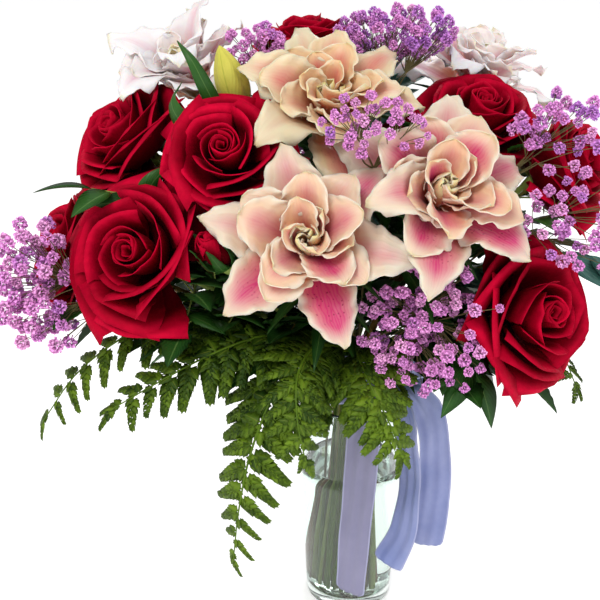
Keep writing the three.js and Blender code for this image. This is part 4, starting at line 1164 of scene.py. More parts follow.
# %% Lilies
LILIES = [
    ("lily_front", (-44, -150, 416), (-0.05, -0.86, 0.5), 73, -74),
    ("lily_right", (56, -120, 446), (0.2, -0.78, 0.6), 79, 16),
    ("lily_top", (-28, -56, 504), (0.02, -0.66, 0.75), 76, 47),
    ("lily_left_back", (-150, 24, 520), (-0.3, -0.4, 0.87), 78, 20),
    ("lily_right_back", (120, 92, 518), (0.25, -0.2, 0.95), 74, 5),
]
LILY_RADIUS = 75
PALE_HEART_TONE = 0.15
ROSETTE_PETALS = 5
LILY_LOOKS = {
    "lily_front": ("lily_petal", "lily_petal", 0.45, 0.9, 0, 0),
    "lily_right": ("lily_petal", "lily_petal", 0.55, 0.5, 0, 0),
    "lily_top": ("warm_lily_petal", "lily_petal", 0.35, 0.2, 6, 6),
    "lily_left_back": ("pale_lily_petal", "pale_lily_petal", 0.25, 0.3, -10, 44),
    "lily_right_back": ("pale_lily_petal", "pale_lily_petal", 0.25, 0.2, -14, 0),
}
LILY_RINGS = [(0.05, 3, 10, 1.0, 7), (0.26, 3, 60, 1.0, 9), (0.46, 5, 20, 1.0, 7), (0.62, 4, 40, 1.0, 4),
              (1.0, 3, 60, 1.0, 2), (1.0, 3, 0, 1.0, -3)]


def rosette(place, scale, rng, sheets):
    """The small curled petals in the middle of a double lily."""
    layer = {"profile": np.array([[3, 16], [10, 24], [11, 40], [9, 50]], float), "half_width": 12.0,
             "tilt": 0.35, "roll": -2.0, "lip": 1.0, "full": 1.8, "blunt": 0.6}
    shape = dict(LILY_SHAPE, ruffle=1.6, frill=0.8, rows=13, cols=9, least=6)
    for k in range(ROSETTE_PETALS):
        angle = 2.4 * k + rng.uniform(-0.3, 0.3)
        inner = dict(layer, profile=layer["profile"] * np.array([1 - 0.1 * k, 1.0]))
        grid = petal_grid(shape, pointed, inner, angle, scale, rng.uniform(-0.05, 0.12),
                          rng.uniform(0.85, 1.0), rng.uniform())
        sheets.add(in_frame(place, grid), tone=1.0, blush=0.1)


def make_lily(row, seed):
    lily = as_flower(row)
    scale = lily["radius"] / LILY_RADIUS
    place = bloom_place(lily, BLOOM_DEPTH * scale)
    finish, slot, blush, hanging, cup, upright = LILY_LOOKS[lily["name"]]
    warmth = PALE_HEART_TONE if finish == "pale_lily_petal" else HEART_TONE
    rings = [(*ring[:4], ring[4] + cup * ring[0]) for ring in LILY_RINGS]
    rings[4] = (*rings[4][:4], rings[4][4] + upright)

    def blush_of(grid, depth, rng):
        course = unit(grid[-1].mean(axis=0) - place[1])
        low = max(0.0, -course[2] + 0.1)
        return float(np.clip(blush + hanging * low * depth + rng.uniform(-0.3, 0.3), 0, 1))

    def tone_of(depth, rng):
        return warmth * float(np.clip(1.15 - depth + rng.uniform(-0.2, 0.3), 0, 1))

    sheets = grow_bloom(lily, place, scale, rings, LILY_LAYERS, LILY_SHAPE, pointed,
                        tone_of, blush_of, seed)
    rosette(place, scale, np.random.default_rng(seed + 50), sheets)
    return bloom_piece(lily, sheets, finish, slot, LILY_THICKNESS)


print("lilies:", len(LILIES), "of", ROSETTE_PETALS + sum(ring[1] for ring in LILY_RINGS), "petals")

# %% [markdown]
# ## Grow every bloom
#
# Each bloom keeps clear of those that are already there, so the order matters: buds first, because they
# are stiff, then the roses, and the lilies last, because their long petals give way most easily. Each has
# a seed of its own, so that changing one flower leaves the chance in all others as it was.

# %% Grow every bloom
make_rose_bud()
make_lily_bud()
for number, row in enumerate(ROSES):
    make_rose(row, 10 + number)
for number, row in enumerate(LILIES):
    make_lily(row, 40 + number)
BLOOMS = list(PLACED)
print("blooms:", len(BLOOMS))

# %% [markdown]
# ## Small shapes to copy
#
# A rose leaflet, a lily leaf, a broad leaf, a sepal and a fern leaflet are each made once, one millimetre
# long along X, and then placed many times. A leaf's edge is toothed by making every other row of its grid
# wider, it folds along its midrib, and it arches down to its tip. Before a leaf is placed, nine points
# over it are tested: they have to keep clear of every bloom, and at most 4 mm outside the plain model.

# %% Small shapes to copy
LEAF_GAP = 1.6
PAST_BOX = 4
BLADES = {
    "leaflet": {"width": 0.27, "teeth": 0.16, "fold": 0.35, "arch": 0.16, "rows": 12},
    "lily_leaf": {"width": 0.10, "teeth": 0.0, "fold": 0.25, "arch": 0.30, "rows": 10},
    "broad_leaf": {"width": 0.23, "teeth": 0.0, "fold": 0.3, "arch": 0.26, "rows": 14},
    "sepal": {"width": 0.14, "teeth": 0.3, "fold": 0.3, "arch": 0.35, "rows": 8, "fullness": 0.55,
              "thickness": 0.04},
    "fern_leaflet": {"width": 0.36, "teeth": 0.34, "fold": 0.2, "arch": 0.14, "rows": 7, "fullness": 0.52,
                     "thickness": 0.03},
}


def leaf_shape(name, width, teeth, fold, arch, rows, fullness=0.8, thickness=0.010):
    """A thin closed leaf: an upper and an under side that share their rim and part along the midrib."""
    v = np.linspace(0, 1, rows + 1)[:, None]
    u = np.array([[-1.0, 0.0, 1.0]])
    jag = 1 + teeth * (np.arange(rows + 1)[:, None] % 2 - 0.5)
    half = width * (0.03 + 0.97 * np.sin(np.pi * v ** fullness)) * jag
    half[-1] = 0.004
    x = v - 0.05 * teeth * np.abs(u)
    grid = np.stack([x, u * half, fold * np.abs(u) * half - arch * v * v], axis=-1)
    upper = np.arange(3 * (rows + 1)).reshape(rows + 1, 3)
    under = upper.copy()
    under[1:-1, 1] = upper.size + np.arange(rows - 1)
    points = np.vstack([grid.reshape(-1, 3), grid[1:-1, 1] - (0, 0, thickness)])
    uv = np.stack([0.5 + 0.5 * u + 0 * v, v + 0 * u], axis=-1)
    uv = np.vstack([uv.reshape(-1, 2), uv[1:-1, 1]])
    faces = [[upper[i, j], upper[i + 1, j], upper[i + 1, j + 1], upper[i, j + 1]]
             for i in range(rows) for j in range(2)]
    faces += [[under[i, j], under[i, j + 1], under[i + 1, j + 1], under[i + 1, j]]
              for i in range(rows) for j in range(2)]
    return shown_mesh(name, points, [[int(c) for c in face] for face in faces], None, uv)


SHAPES = {name: leaf_shape(name, **numbers) for name, numbers in BLADES.items()}
BOX_LOW, BOX_HIGH = (np.array(corner) / MM for corner in plain_box)


def nearest_bloom(point, reach):
    best = reach
    for _, tree, low, high in BLOOMS:
        if (np.asarray(point) > low - reach).all() and (np.asarray(point) < high + reach).all():
            found = tree.find_nearest(Vector([float(c) for c in point]), reach)
            if found[3] is not None:
                best = min(best, found[3])
    return best


def has_room(points, gap):
    points = np.asarray(points)
    if (points < BOX_LOW - PAST_BOX).any() or (points > BOX_HIGH + PAST_BOX).any():
        return False
    return all(nearest_bloom(point, gap) >= gap for point in points)


def leaf_fits(shape, matrix, length):
    """Whether nine points over a leaf have room."""
    width, arch = BLADES[shape]["width"], BLADES[shape]["arch"]
    local = [(x, y * width, -arch * x * x) for x in (0.3, 0.6, 0.95) for y in (-0.8, 0, 0.8)]
    points = [tuple(matrix @ Vector([length * c for c in point])) for point in local]
    return has_room(points, LEAF_GAP)


print("shapes:", ", ".join(SHAPES))

# %% [markdown]
# ## Leaves along a stem
#
# A rose stem carries compound leaves of three to five toothed leaflets, a lily stem many narrow leaves.
# They fill the dark green space between the flowers, so each stem gets as many as have room above the
# tie, turned by the golden angle from one to the next as real leaves are. Each leaf tries a few tilts
# before it is left out, which looks more natural than leaves on a fixed pattern.

# %% Leaves along a stem
GOLDEN = math.pi * (3 - math.sqrt(5))
TIE_TOP = 262
FIRST_LEAF = TIE_TOP + 16
LEAFLET_ROWS = [(1.0, 0, 1.0), (0.72, 58, 0.86), (0.72, -58, 0.86), (0.38, 62, 0.66), (0.38, -62, 0.66)]
LEAF_TILTS = (0.5, 0.1, 0.9, -0.3)


def stem_line(node):
    middles, radii = stem_rings(node)
    count = 5 * (len(middles) - 1) + 1
    line = smooth_line(middles, count)
    return line, np.interp(np.linspace(0, 1, count), np.linspace(0, 1, len(radii)), radii)


def travelled(line):
    return np.concatenate([[0], np.cumsum(np.linalg.norm(np.diff(line, axis=0), axis=1))])


def sample(line, lengths, where):
    point = np.array([np.interp(where, lengths, line[:, i]) for i in range(3)])
    ahead = np.array([np.interp(where + 4, lengths, line[:, i]) for i in range(3)])
    back = np.array([np.interp(where - 4, lengths, line[:, i]) for i in range(3)])
    return point, unit(ahead - back)


def compound_leaf(origin, course, size, rng):
    """Tube and leaflets of one rose leaf: its own stalk, two pairs of leaflets and one at the end."""
    stalk = np.array([origin + course * s * size * 1.5 + np.array([0, 0, -0.12 * s * s * size * 1.5])
                      for s in np.linspace(0, 1, 6)])
    up = unit(np.cross(course, np.cross((0, 0, 1), course)))
    side = np.cross(up, course)
    leaves = []
    for along, turn, share in LEAFLET_ROWS:
        angle = math.radians(turn + rng.uniform(-8, 8))
        ahead = course * math.cos(angle) + side * math.sin(angle) + up * rng.uniform(-0.1, 0.15)
        start = np.array([np.interp(along, np.linspace(0, 1, 6), stalk[:, i]) for i in range(3)])
        matrix = placed_matrix(start, ahead, up)
        length = size * share
        if leaf_fits("leaflet", matrix, length):
            leaves.append((matrix, length, rng.uniform()))
    return (stalk, np.linspace(1.0, 0.5, 6)), leaves


def leafy_places(line, lengths, kind, rng):
    """The leaf stalks and the copies of leaves on one stem, of the kind rose or lily."""
    tubes, copies = [], []
    high = line[:, 2] > FIRST_LEAF
    above = lengths[np.searchsorted(line[:, 2], FIRST_LEAF)] if high.any() else 0
    step, bare = (10, 14) if kind == "rose" else (6.5, 8)
    turn = rng.uniform(0, WAVE)
    for where in np.arange(above, lengths[-1] - bare, step):
        origin, along = sample(line, lengths, where)
        turn += GOLDEN
        for tilt in LEAF_TILTS:
            flat = np.array([math.cos(turn), math.sin(turn), 0])
            out = unit(flat - along * (flat @ along))
            course = unit(out + tilt * along + 0.25 * unit([origin[0], origin[1], 0]))
            if kind == "rose":
                stalk, leaves = compound_leaf(origin, course, rng.uniform(34, 46), rng)
                if len(leaves) >= 3:
                    tubes.append(stalk)
                    copies.extend(leaves)
                    break
            else:
                length = rng.uniform(56, 84)
                up = unit(np.cross(course, np.cross((0, 0, 1), course)))
                matrix = placed_matrix(origin, course, up)
                if leaf_fits("lily_leaf", matrix, length):
                    copies.append((matrix, length, rng.uniform()))
                    break
    return tubes, copies


print("leaves start above", FIRST_LEAF, "mm")

# %% [markdown]
# ## Sepals and curled leaves
#
# Five sepals stand out under an open rose, so there they are copies of one shape. On the bud they still
# hug the petals, which a stiff copy can't, so they are narrow petals on the bud's own curve. A few long
# leaves curl back on themselves: each is drawn as a line, with a width and the way that it lies.

# %% Sepals and curled leaves
SEPALS = 5
CURLED_LEAVES = {
    "lily_bud": [([(-106, -34, 488), (-116, -58, 500), (-124, -68, 518), (-134, -68, 538),
                   (-146, -58, 552)], 6.5, (1, 0.3, 0.4)),
                 ([(-106, -34, 484), (-122, -66, 484), (-142, -80, 492), (-150, -78, 508),
                   (-142, -70, 522)], 9.0, (0.5, -0.4, 0.8))],
    "leaves_left": [([(-172, -82, 424), (-171, -88, 437), (-164, -88, 449), (-150, -82, 459)], 9.0,
                     (0.7, 0.4, -0.5))],
}


def hugging_sepals(place, name):
    """Five pointed sepals that still lie against a bud, with their tips just parting from it."""
    layer = {"profile": np.array([[3, -2], [15.5, 2], [15, 20], [9.5, 31]], float), "half_width": 5.2,
             "tilt": 0.0, "roll": 0.0, "lip": 5.0, "full": 0.55, "blunt": 0.8}
    shape = dict(LILY_SHAPE, ruffle=0.3, frill=0.4, groove=0.0, rows=13, cols=5, least=5)
    sheets = Sheets()
    for k in range(SEPALS):
        grid = petal_grid(shape, pointed, layer, 2 * math.pi * (k + 0.35) / SEPALS, 1.0, phase=0.3 * k)
        sheets.add(in_frame(place, grid), tone=0.4 + 0.1 * k)
    return sheet_piece(name + "_sepals", sheets, "leaf", 0.6)


def blade_piece(name, blades, finish, rows=19):
    """Long leaves that curl: each is a line, its greatest half width, and the way its width lies."""
    sheets = Sheets()
    u, v = np.linspace(-1, 1, 5), np.linspace(0, 1, rows)
    for points, half, way in blades:
        line = smooth_line(points, rows)
        course = np.gradient(line, axis=0)
        grid = np.zeros((rows, len(u), 3))
        for i in range(rows):
            along = unit(course[i])
            side = unit(np.array(way) - along * (np.array(way) @ along))
            face = np.cross(along, side)
            wide = half * (0.08 + 0.92 * math.sin(math.pi * v[i] ** 0.75)) if i < rows - 1 else 0.3
            grid[i] = line[i] + np.outer(u * wide, side) + np.outer(0.3 * wide * np.abs(u), face)
        sheets.add(grid, tone=0.7)
    return sheet_piece(name, sheets, finish, 0.5)


def open_sepals(place, name, radius, start_angle):
    """Five sepals that stand out under an open rose."""
    turn, origin = place
    axis = turn[:, 2]
    sepals = []
    for k in range(SEPALS):
        angle = 2 * math.pi * k / SEPALS + start_angle
        out = turn @ np.array([math.cos(angle), math.sin(angle), 0])
        start = origin - axis * 2.2 + out * 0.12 * radius
        matrix = placed_matrix(start, unit(out + 0.1 * axis), axis - out * 0.2)
        sepals.append((matrix, 0.5 * radius, 0.5))
    return copies_piece(name + "_sepals", SHAPES["sepal"], sepals, "stem")


print("curled leaves:", sum(len(leaves) for leaves in CURLED_LEAVES.values()))

# %% [markdown]
# ## Grow every stem
#
# A stem is a tube from the vase's floor through the tie to its flower's base, a little thinner than the
# plain one. Its leaves, their stalks and its sepals are joined to it, because they are one piece on the
# real object too. Chance makes about three in five stems brown and the others pale green.

# %% Grow every stem
def make_stem(name, place, kind, seed, radius):
    rng = np.random.default_rng(seed)
    line, radii = stem_line(name + "_stem")
    lengths = travelled(line)
    tubes = [(line, 0.93 * radii)]
    pieces = []
    if kind in ("rose", "lily"):
        stalks, leaves = leafy_places(line, lengths, kind, rng)
        tubes += stalks
        if leaves:
            shape = SHAPES["leaflet" if kind == "rose" else "lily_leaf"]
            pieces.append(copies_piece(name + "_leaves", shape, leaves, "leaf"))
    if kind == "bud":
        pieces.append(hugging_sepals(place, name))
    if kind == "rose":
        pieces.append(open_sepals(place, name, radius, seed))
    if name in CURLED_LEAVES:
        pieces.append(blade_piece(name + "_curled_leaves", CURLED_LEAVES[name], "leaf"))
    tube = tube_piece(name + "_stalk", tubes, "stem", 10, float(rng.uniform() > 0.6))
    piece = joined([tube] + pieces)
    return finish_piece(piece, "stem", name + "_stem")


for kind, rows, usual, first_seed in (("rose", ROSES, ROSE_RADIUS, 70), ("lily", LILIES, LILY_RADIUS, 90)):
    for number, row in enumerate(rows):
        flower = as_flower(row)
        place = bloom_place(flower, BLOOM_DEPTH * flower["radius"] / usual)
        make_stem(flower["name"], place, kind, first_seed + number, flower["radius"])
make_stem("rose_bud", bloom_place(ROSE_BUD, ROSE_BUD["length"] / 2), "bud", 101, 26)
make_stem("lily_bud", bloom_place(LILY_BUD, LILY_BUD["length"] / 2), "lily", 102, 20)
print("stems:", len(ROSES) + len(LILIES) + 2)

# %% [markdown]
# ## A fern's pinna
#
# A leatherleaf frond is cut three times: pinnae on both sides of the rachis, leaflets on both sides of
# each pinna, and teeth on each leaflet. A picture of a frond on a flat card would be cheap, but shows
# from the side, so every leaflet is there. This cell makes one pinna: its rib is a tube that droops, and
# its leaflets are copies that shrink and lean forward towards the tip.

# %% A fern's pinna
LEAFLET_STEP = 4.4


def whole_line(node, path):
    lower = stem_slices(node, TIE_TOP + 2)
    line = smooth_line(np.vstack([lower, path]), 90)
    return line, travelled(line)


def pinna(origin, course, up, length, leaflet, rng, tone):
    """The rib and leaflets of one pinna."""
    side = np.cross(up, course)

    def at(x):
        return origin + course * x - up * 0.26 * x * x / max(length, 1)

    rib = (np.array([at(s * length) for s in np.linspace(0, 1, 5)]), np.linspace(0.6, 0.25, 5))
    copies = []
    for x in np.linspace(0.06, 0.97, max(5, round(length / LEAFLET_STEP))):
        droop = unit(course - up * 0.52 * x)
        for sign in (-1, 1):
            size = leaflet * (1.3 - 0.62 * x)
            out = unit(droop * (0.7 + 0.7 * x) + side * sign * 0.72 + up * rng.uniform(-0.12, 0.15))
            start = at(x * length + (0.4 if sign > 0 else 0) * LEAFLET_STEP * (1 - 0.8 * x))
            matrix = placed_matrix(start, out, up + side * sign * 0.15)
            copies.append((matrix, size, float(np.clip(tone + rng.uniform(-0.5, 0.5), 0, 1))))
    end = placed_matrix(at(0.93 * length), droop, up)
    copies.append((end, 0.9 * leaflet, float(np.clip(tone, 0, 1))))
    return rib, copies


print("millimetres from leaflet to leaflet:", LEAFLET_STEP)

# %% [markdown]
# ## Fern fronds
#
# A frond's pinnae shorten towards its tip and stay away from flowers: one that has no room is tried
# shorter, and then left out. Pinnae on the side towards the picture dip, so that it shows their upper
# faces. Each row has the longest pinna, how pale the frond is, and the path of its rachis from the tie
# outwards.

# %% Fern fronds
FERNS = [
    ("fern_front_low", 48, 0.3,
     [(-22, -50, 292), (-60, -104, 292), (-88, -136, 240), (-100, -146, 188), (-106, -148, 138)]),
    ("fern_front_right", 50, 0.4,
     [(4, -52, 290), (-2, -102, 304), (8, -134, 288), (22, -144, 262), (32, -148, 238)]),
    ("fern_front_left", 50, -0.05,
     [(-30, -44, 296), (-84, -96, 318), (-124, -122, 312), (-164, -140, 296), (-196, -150, 280)]),
    ("fern_left", 46, 0.2,
     [(-44, -20, 296), (-130, -52, 322), (-190, -66, 312), (-242, -72, 276), (-276, -74, 230)]),
    ("fern_front_middle", 44, 0.15,
     [(-12, -44, 296), (-36, -96, 312), (-52, -142, 304), (-52, -166, 276), (-46, -172, 246)]),
    ("fern_right", 38, 0.1,
     [(40, -14, 296), (100, -30, 318), (148, -34, 308), (186, -32, 278), (206, -28, 240)]),
    ("fern_back", 46, 0.2,
     [(4, 44, 296), (16, 96, 322), (22, 142, 318), (24, 178, 284), (24, 194, 240)]),
    ("fern_back_left", 42, 0.2,
     [(-36, 34, 296), (-92, 76, 320), (-142, 108, 310), (-180, 128, 276), (-204, 140, 232)]),
]
PINNA_PAIRS = 10
PINNA_SHARES = (1.0, 0.8, 0.6, 0.4)
LONGEST_LEAFLET = 13.5
PINNA_GAP = 2.0
FRONT_DIP = math.radians(30)
PINNA_ANGLE = math.radians(58)


def make_fern(row, seed):
    name, longest, shade, path = row
    rng = np.random.default_rng(seed)
    line, lengths = whole_line(name, path)
    start = lengths[np.linalg.norm(line - np.array(path[0]), axis=1).argmin()]
    reach = lengths[-1] - start
    tubes = [(line, np.interp(lengths, [0, start, lengths[-1]], [1.8, 1.6, 0.5]))]
    copies = []
    for pair in range(PINNA_PAIRS + 1):
        for sign in (-1, 1):
            t = 0.17 + 0.8 * (pair + (0.4 if sign > 0 else 0)) / PINNA_PAIRS
            origin, along = sample(line, lengths, start + min(t, 1.0) * reach)
            y = unit(np.cross((0, 0, 1), along))
            y = y + 0.8 * abs(along[2]) * np.array([1.0 if y[0] > 0 else -1.0, 0, 0])
            y = unit(y - along * (along @ y))
            up = np.cross(along, y)
            dip = (FRONT_DIP if y[1] < 0 else -FRONT_DIP) * (1 - abs(along[2]))
            y, up = y * math.cos(dip) - up * math.sin(dip), up * math.cos(dip) + y * math.sin(dip)
            angle = PINNA_ANGLE + math.radians(rng.uniform(-10, 10))
            course = along * math.cos(angle) + y * sign * math.sin(angle)
            if pair == PINNA_PAIRS:
                course = unit(along + y * sign * 0.35)
            full = longest * (1.34 - 0.86 * t) * (0.8 + 0.2 * math.sin(3.1 * min(1, 2.5 * t)))
            full *= rng.uniform(0.84, 1.1)
            for share in PINNA_SHARES:
                length = full * share
                tests = [origin + course * s * length + y * w for s in (0.4, 0.75, 1.0) for w in (-3, 3)]
                if has_room(tests, PINNA_GAP):
                    leaflet = min(0.36 * full, LONGEST_LEAFLET)
                    rib, leaflets = pinna(origin, course, up, length, leaflet, rng, shade + 0.4 * t)
                    tubes.append(rib)
                    copies += leaflets
                    break
    leaflets = copies_piece(name + "_leaflets", SHAPES["fern_leaflet"], copies, "fern")
    piece = joined([tube_piece(name + "_frond", tubes, "fern", 6), leaflets])
    finish_piece(piece, "fern", name)
    return len(copies)


print("fern leaflets:", sum(make_fern(row, 110 + i) for i, row in enumerate(FERNS)))

# %% [markdown]
# ## Leafy twigs
#
# Four twigs with broad pointed leaves show at the edges and between the flowers: two dark green, two a
# bluish green. Leaves stand to the left and right in turn, with one at the end, and each tries five ways
# of lying, from large and flat to small and twisted, until one has room. One more leaf curls over.

# %% Leafy twigs
TWIGS = [
    ("leaves_left", 50, "leaf", [(-40, -20, 300), (-120, -60, 356), (-176, -84, 430), (-214, -92, 442)]),
    ("leaves_right", 58, "leaf", [(38, -40, 296), (66, -72, 312), (84, -94, 308), (94, -104, 292)]),
    ("leaves_far_right", 54, "blue_leaf", [(44, 4, 300), (118, -8, 352), (180, -40, 372), (224, -52, 366)]),
    ("leaves_back", 62, "blue_leaf", [(10, 34, 300), (6, 76, 380), (10, 96, 450), (30, 86, 500)]),
]
TWIG_LEAVES = 16
TWIG_WAYS = ((1, 52, 12), (1, 34, 30), (0.8, 52, -25), (0.8, 30, 60), (0.6, 40, 0))


def make_twig(row, seed):
    name, leaf, finish, path = row
    rng = np.random.default_rng(seed)
    line, lengths = whole_line(name, path)
    start = lengths[np.linalg.norm(line - np.array(path[0]), axis=1).argmin()]
    reach = lengths[-1] - start
    copies = []
    for k in range(TWIG_LEAVES):
        sign = -1 if k % 2 else 1
        last = k == TWIG_LEAVES - 1
        origin, along = sample(line, lengths, start + (0.15 + 0.85 * k / (TWIG_LEAVES - 1)) * reach)
        y = unit(np.cross((0, 0, 1), along))
        for size, spread, twist in TWIG_WAYS:
            angle, tip = math.radians(spread), math.radians(twist + rng.uniform(-10, 10))
            up = np.cross(along, y) * math.cos(tip) + y * sign * math.sin(tip)
            side = np.cross(up, along)
            course = along * math.cos(angle) + side * sign * math.sin(angle)
            matrix = placed_matrix(origin, along if last else course, up)
            length = leaf * size * rng.uniform(0.85, 1.0)
            if leaf_fits("broad_leaf", matrix, length):
                copies.append((matrix, length, rng.uniform()))
                break
    leaves = copies_piece(name + "_blades", SHAPES["broad_leaf"], copies, finish)
    radii = np.interp(lengths, [0, start, lengths[-1]], [1.9, 1.8, 0.8])
    pieces = [tube_piece(name + "_twig", [(line, radii)], "stem", 8), leaves]
    if name in CURLED_LEAVES:
        pieces.append(blade_piece(name + "_curled_leaves", CURLED_LEAVES[name], finish))
    piece = joined(pieces)
    finish_piece(piece, "leaf", name)
    return len(copies)


print("twig leaves:", sum(make_twig(row, 130 + i) for i, row in enumerate(TWIGS)))

# %% [markdown]
# ## A gypsophila flower
#
# Double gypsophila is a ball of many small petals. Here each petal is a closed sliver with a fold, and a
# golden spiral spreads them over the ball. The slivers are flat shaded, so that each catches the light in
# its own way; smooth shading would melt them into one lump. The copies turn and vary, so a single flower
# is enough.

# %% A gypsophila flower
HEAD_PETALS = 38


def flower_head():
    """A double flower of 1 mm radius: small folded petals, each a closed sliver, turned all ways."""
    rng = np.random.default_rng(5)
    points, faces, uv = [], [], []
    for k in range(HEAD_PETALS):
        z = 1 - 1.8 * (k + 0.5) / HEAD_PETALS
        angle = k * GOLDEN
        ring = math.sqrt(max(0.0, 1 - z * z))
        out = np.array([ring * math.cos(angle), ring * math.sin(angle), z])
        side = unit(np.cross(out, rng.normal(size=3)))
        fold = np.cross(side, out)
        reach = rng.uniform(0.86, 1.1)
        corners = [out * 0.3, out * 0.86 * reach + side * 0.30, out * 0.80 * reach - side * 0.30,
                   out * reach + fold * 0.22]
        start = len(points)
        points += corners
        uv += [(0.5, 0.0), (1.0, 0.7), (0.0, 0.7), (0.5, 1.0)]
        inside = sum(corners) / 4
        for a, b, c in ((0, 1, 3), (0, 3, 2), (0, 2, 1), (1, 2, 3)):
            normal = np.cross(corners[b] - corners[a], corners[c] - corners[a])
            outward = normal @ (corners[a] - inside) > 0
            faces.append([start + corner for corner in ((a, b, c) if outward else (a, c, b))])
    piece = shown_mesh("gypsophila_flower", points, faces, None, np.array(uv))
    piece.data.shade_flat()
    return piece


SHAPES["gypsophila_flower"] = flower_head()
print("petals of a gypsophila flower:", HEAD_PETALS)

# %% [markdown]
# ## Gypsophila sprays
#
# A spray forks into seven branches and these into threads, each ending in a flower. The flowers fill an
# ellipsoid, at least their own width apart, and leave out the places where a bloom already is. A particle
# system could scatter them, but points drawn here one by one can be tested for room. Each row has the
# crown where the spray forks, the ellipsoid's middle and half axes, the number of flowers, their tone and
# their size.

# %% Gypsophila sprays
SPRAYS = [
    ("gypsophila_left", (-196, -66, 338), (-264, -88, 358), (38, 26, 62), 78, 0.3, 1.25),
    ("gypsophila_top", (20, 0, 490), (36, 28, 552), (56, 38, 22), 96, 0.6, 1.05),
    ("gypsophila_over_lily", (6, -112, 462), (6, -134, 500), (44, 12, 24), 40, 0.3, 0.85),
    ("gypsophila_right_high", (120, -50, 440), (158, -84, 484), (42, 24, 38), 34, 0.6, 1.1),
    ("gypsophila_right", (120, -66, 400), (170, -102, 418), (48, 20, 42), 38, 0.35, 1.1),
    ("gypsophila_low", (34, -64, 330), (52, -130, 338), (58, 30, 60), 122, 0.3, 1.0),
    ("gypsophila_left_high", (-78, 6, 500), (-80, -6, 544), (36, 16, 18), 30, 0.45, 1.0),
    ("gypsophila_back", (-20, 96, 400), (-24, 148, 440), (66, 34, 44), 80, 0.4, 1.0),
]
HEAD_GAP = 4.6
HEAD_SPACING = 8.0
FORKS = 7


def cloud_points(cloud, size, count, spacing, rng):
    """Points in an ellipsoid, apart from each other and clear of the blooms."""
    made = []
    for _ in range(60 * count):
        p = rng.uniform(-1, 1, 3)
        if np.linalg.norm(p) > 1 or (np.linalg.norm(p) < 0.35 and rng.uniform() < 0.7):
            continue
        point = np.array(cloud) + p * np.array(size)
        if any(np.linalg.norm(point - q) < spacing for q in made):
            continue
        if nearest_bloom(point, HEAD_GAP) < HEAD_GAP:
            continue
        made.append(point)
        if len(made) == count:
            break
    return made


def make_spray(row, seed):
    name, crown, cloud, size, count, tone, width = row
    rng = np.random.default_rng(seed)
    crown = np.array(crown, float)
    middles = stem_slices(name, TIE_TOP + 2)
    line = smooth_line(np.vstack([middles, 0.5 * (middles[-1] + crown) + (0, 0, 4), crown]), 50)
    heads = cloud_points(cloud, size, count, HEAD_SPACING * width, rng)
    tubes = [(line, np.linspace(1.5, 1.0, 50))]
    forks = [crown + (np.array(cloud) + rng.uniform(-0.6, 0.6, 3) * np.array(size) - crown) * 0.55
             for _ in range(FORKS)]
    for fork in forks:
        bend = 0.5 * (crown + fork) + rng.uniform(-3, 3, 3)
        tubes.append((smooth_line([crown, bend, fork], 6), np.linspace(0.8, 0.5, 6)))
    copies = []
    for head in heads:
        fork = min(forks, key=lambda f: np.linalg.norm(f - head))
        along = unit(head - fork)
        bend = 0.5 * (fork + head) + rng.uniform(-2.5, 2.5, 3)
        tubes.append((smooth_line([fork, bend, head], 5), np.linspace(0.42, 0.3, 5)))
        turn, _ = frame_at(head, unit(along + rng.normal(size=3) * 0.25))
        matrix = Matrix(turn.tolist()).to_4x4()
        matrix.translation = Vector([float(c) for c in head])
        shade = float(np.clip(tone + rng.normal() * 0.2, 0, 1))
        copies.append((matrix, width * rng.uniform(3.7, 6.1), shade))
    flowers = copies_piece(name + "_flowers", SHAPES["gypsophila_flower"], copies, "gypsophila")
    piece = joined([tube_piece(name + "_threads", tubes, "twig", 5), flowers])
    finish_piece(piece, "gypsophila", name)
    return len(copies)


print("gypsophila flowers:", sum(make_spray(row, 150 + i) for i, row in enumerate(SPRAYS)))

# %% [markdown]
# ## Vase and water
#
# Both are turned shapes: an outline of radius and height, spun round the axis. Blender's Spin and Screw
# do the same; with a short function the same numbers give the glass and the water in it. The water reaches
# a hair into the glass, because a film of air between them would shine like a mirror, and it simply
# surrounds the stems.

# %% Vase and water
VASE_HEIGHT, VASE_RIM, VASE_FOOT, WALL, BASE, WATER_LEVEL = 220.0, 52.0, 43.0, 4.0, 10.0, 150.0
INTO_GLASS = 0.08
SLOPE = (VASE_RIM - VASE_FOOT) / VASE_HEIGHT


def turned_piece(name, outline, finish, sides=96):
    points, faces, rings = [], [], []
    for radius, height in outline:
        if radius < 1e-6:
            rings.append([len(points)] * sides)
            points.append((0, 0, height))
            continue
        rings.append(list(range(len(points), len(points) + sides)))
        angles = [2 * math.pi * k / sides for k in range(sides)]
        points += [(radius * math.cos(a), radius * math.sin(a), height) for a in angles]
    for lower, upper in zip(rings, rings[1:]):
        for k in range(sides):
            n = (k + 1) % sides
            face = [lower[k], lower[n], upper[n], upper[k]]
            faces.append(list(dict.fromkeys(face)))
    return shown_mesh(name, points, faces, finish)


def wall_inside(z):
    return VASE_FOOT + SLOPE * z - WALL


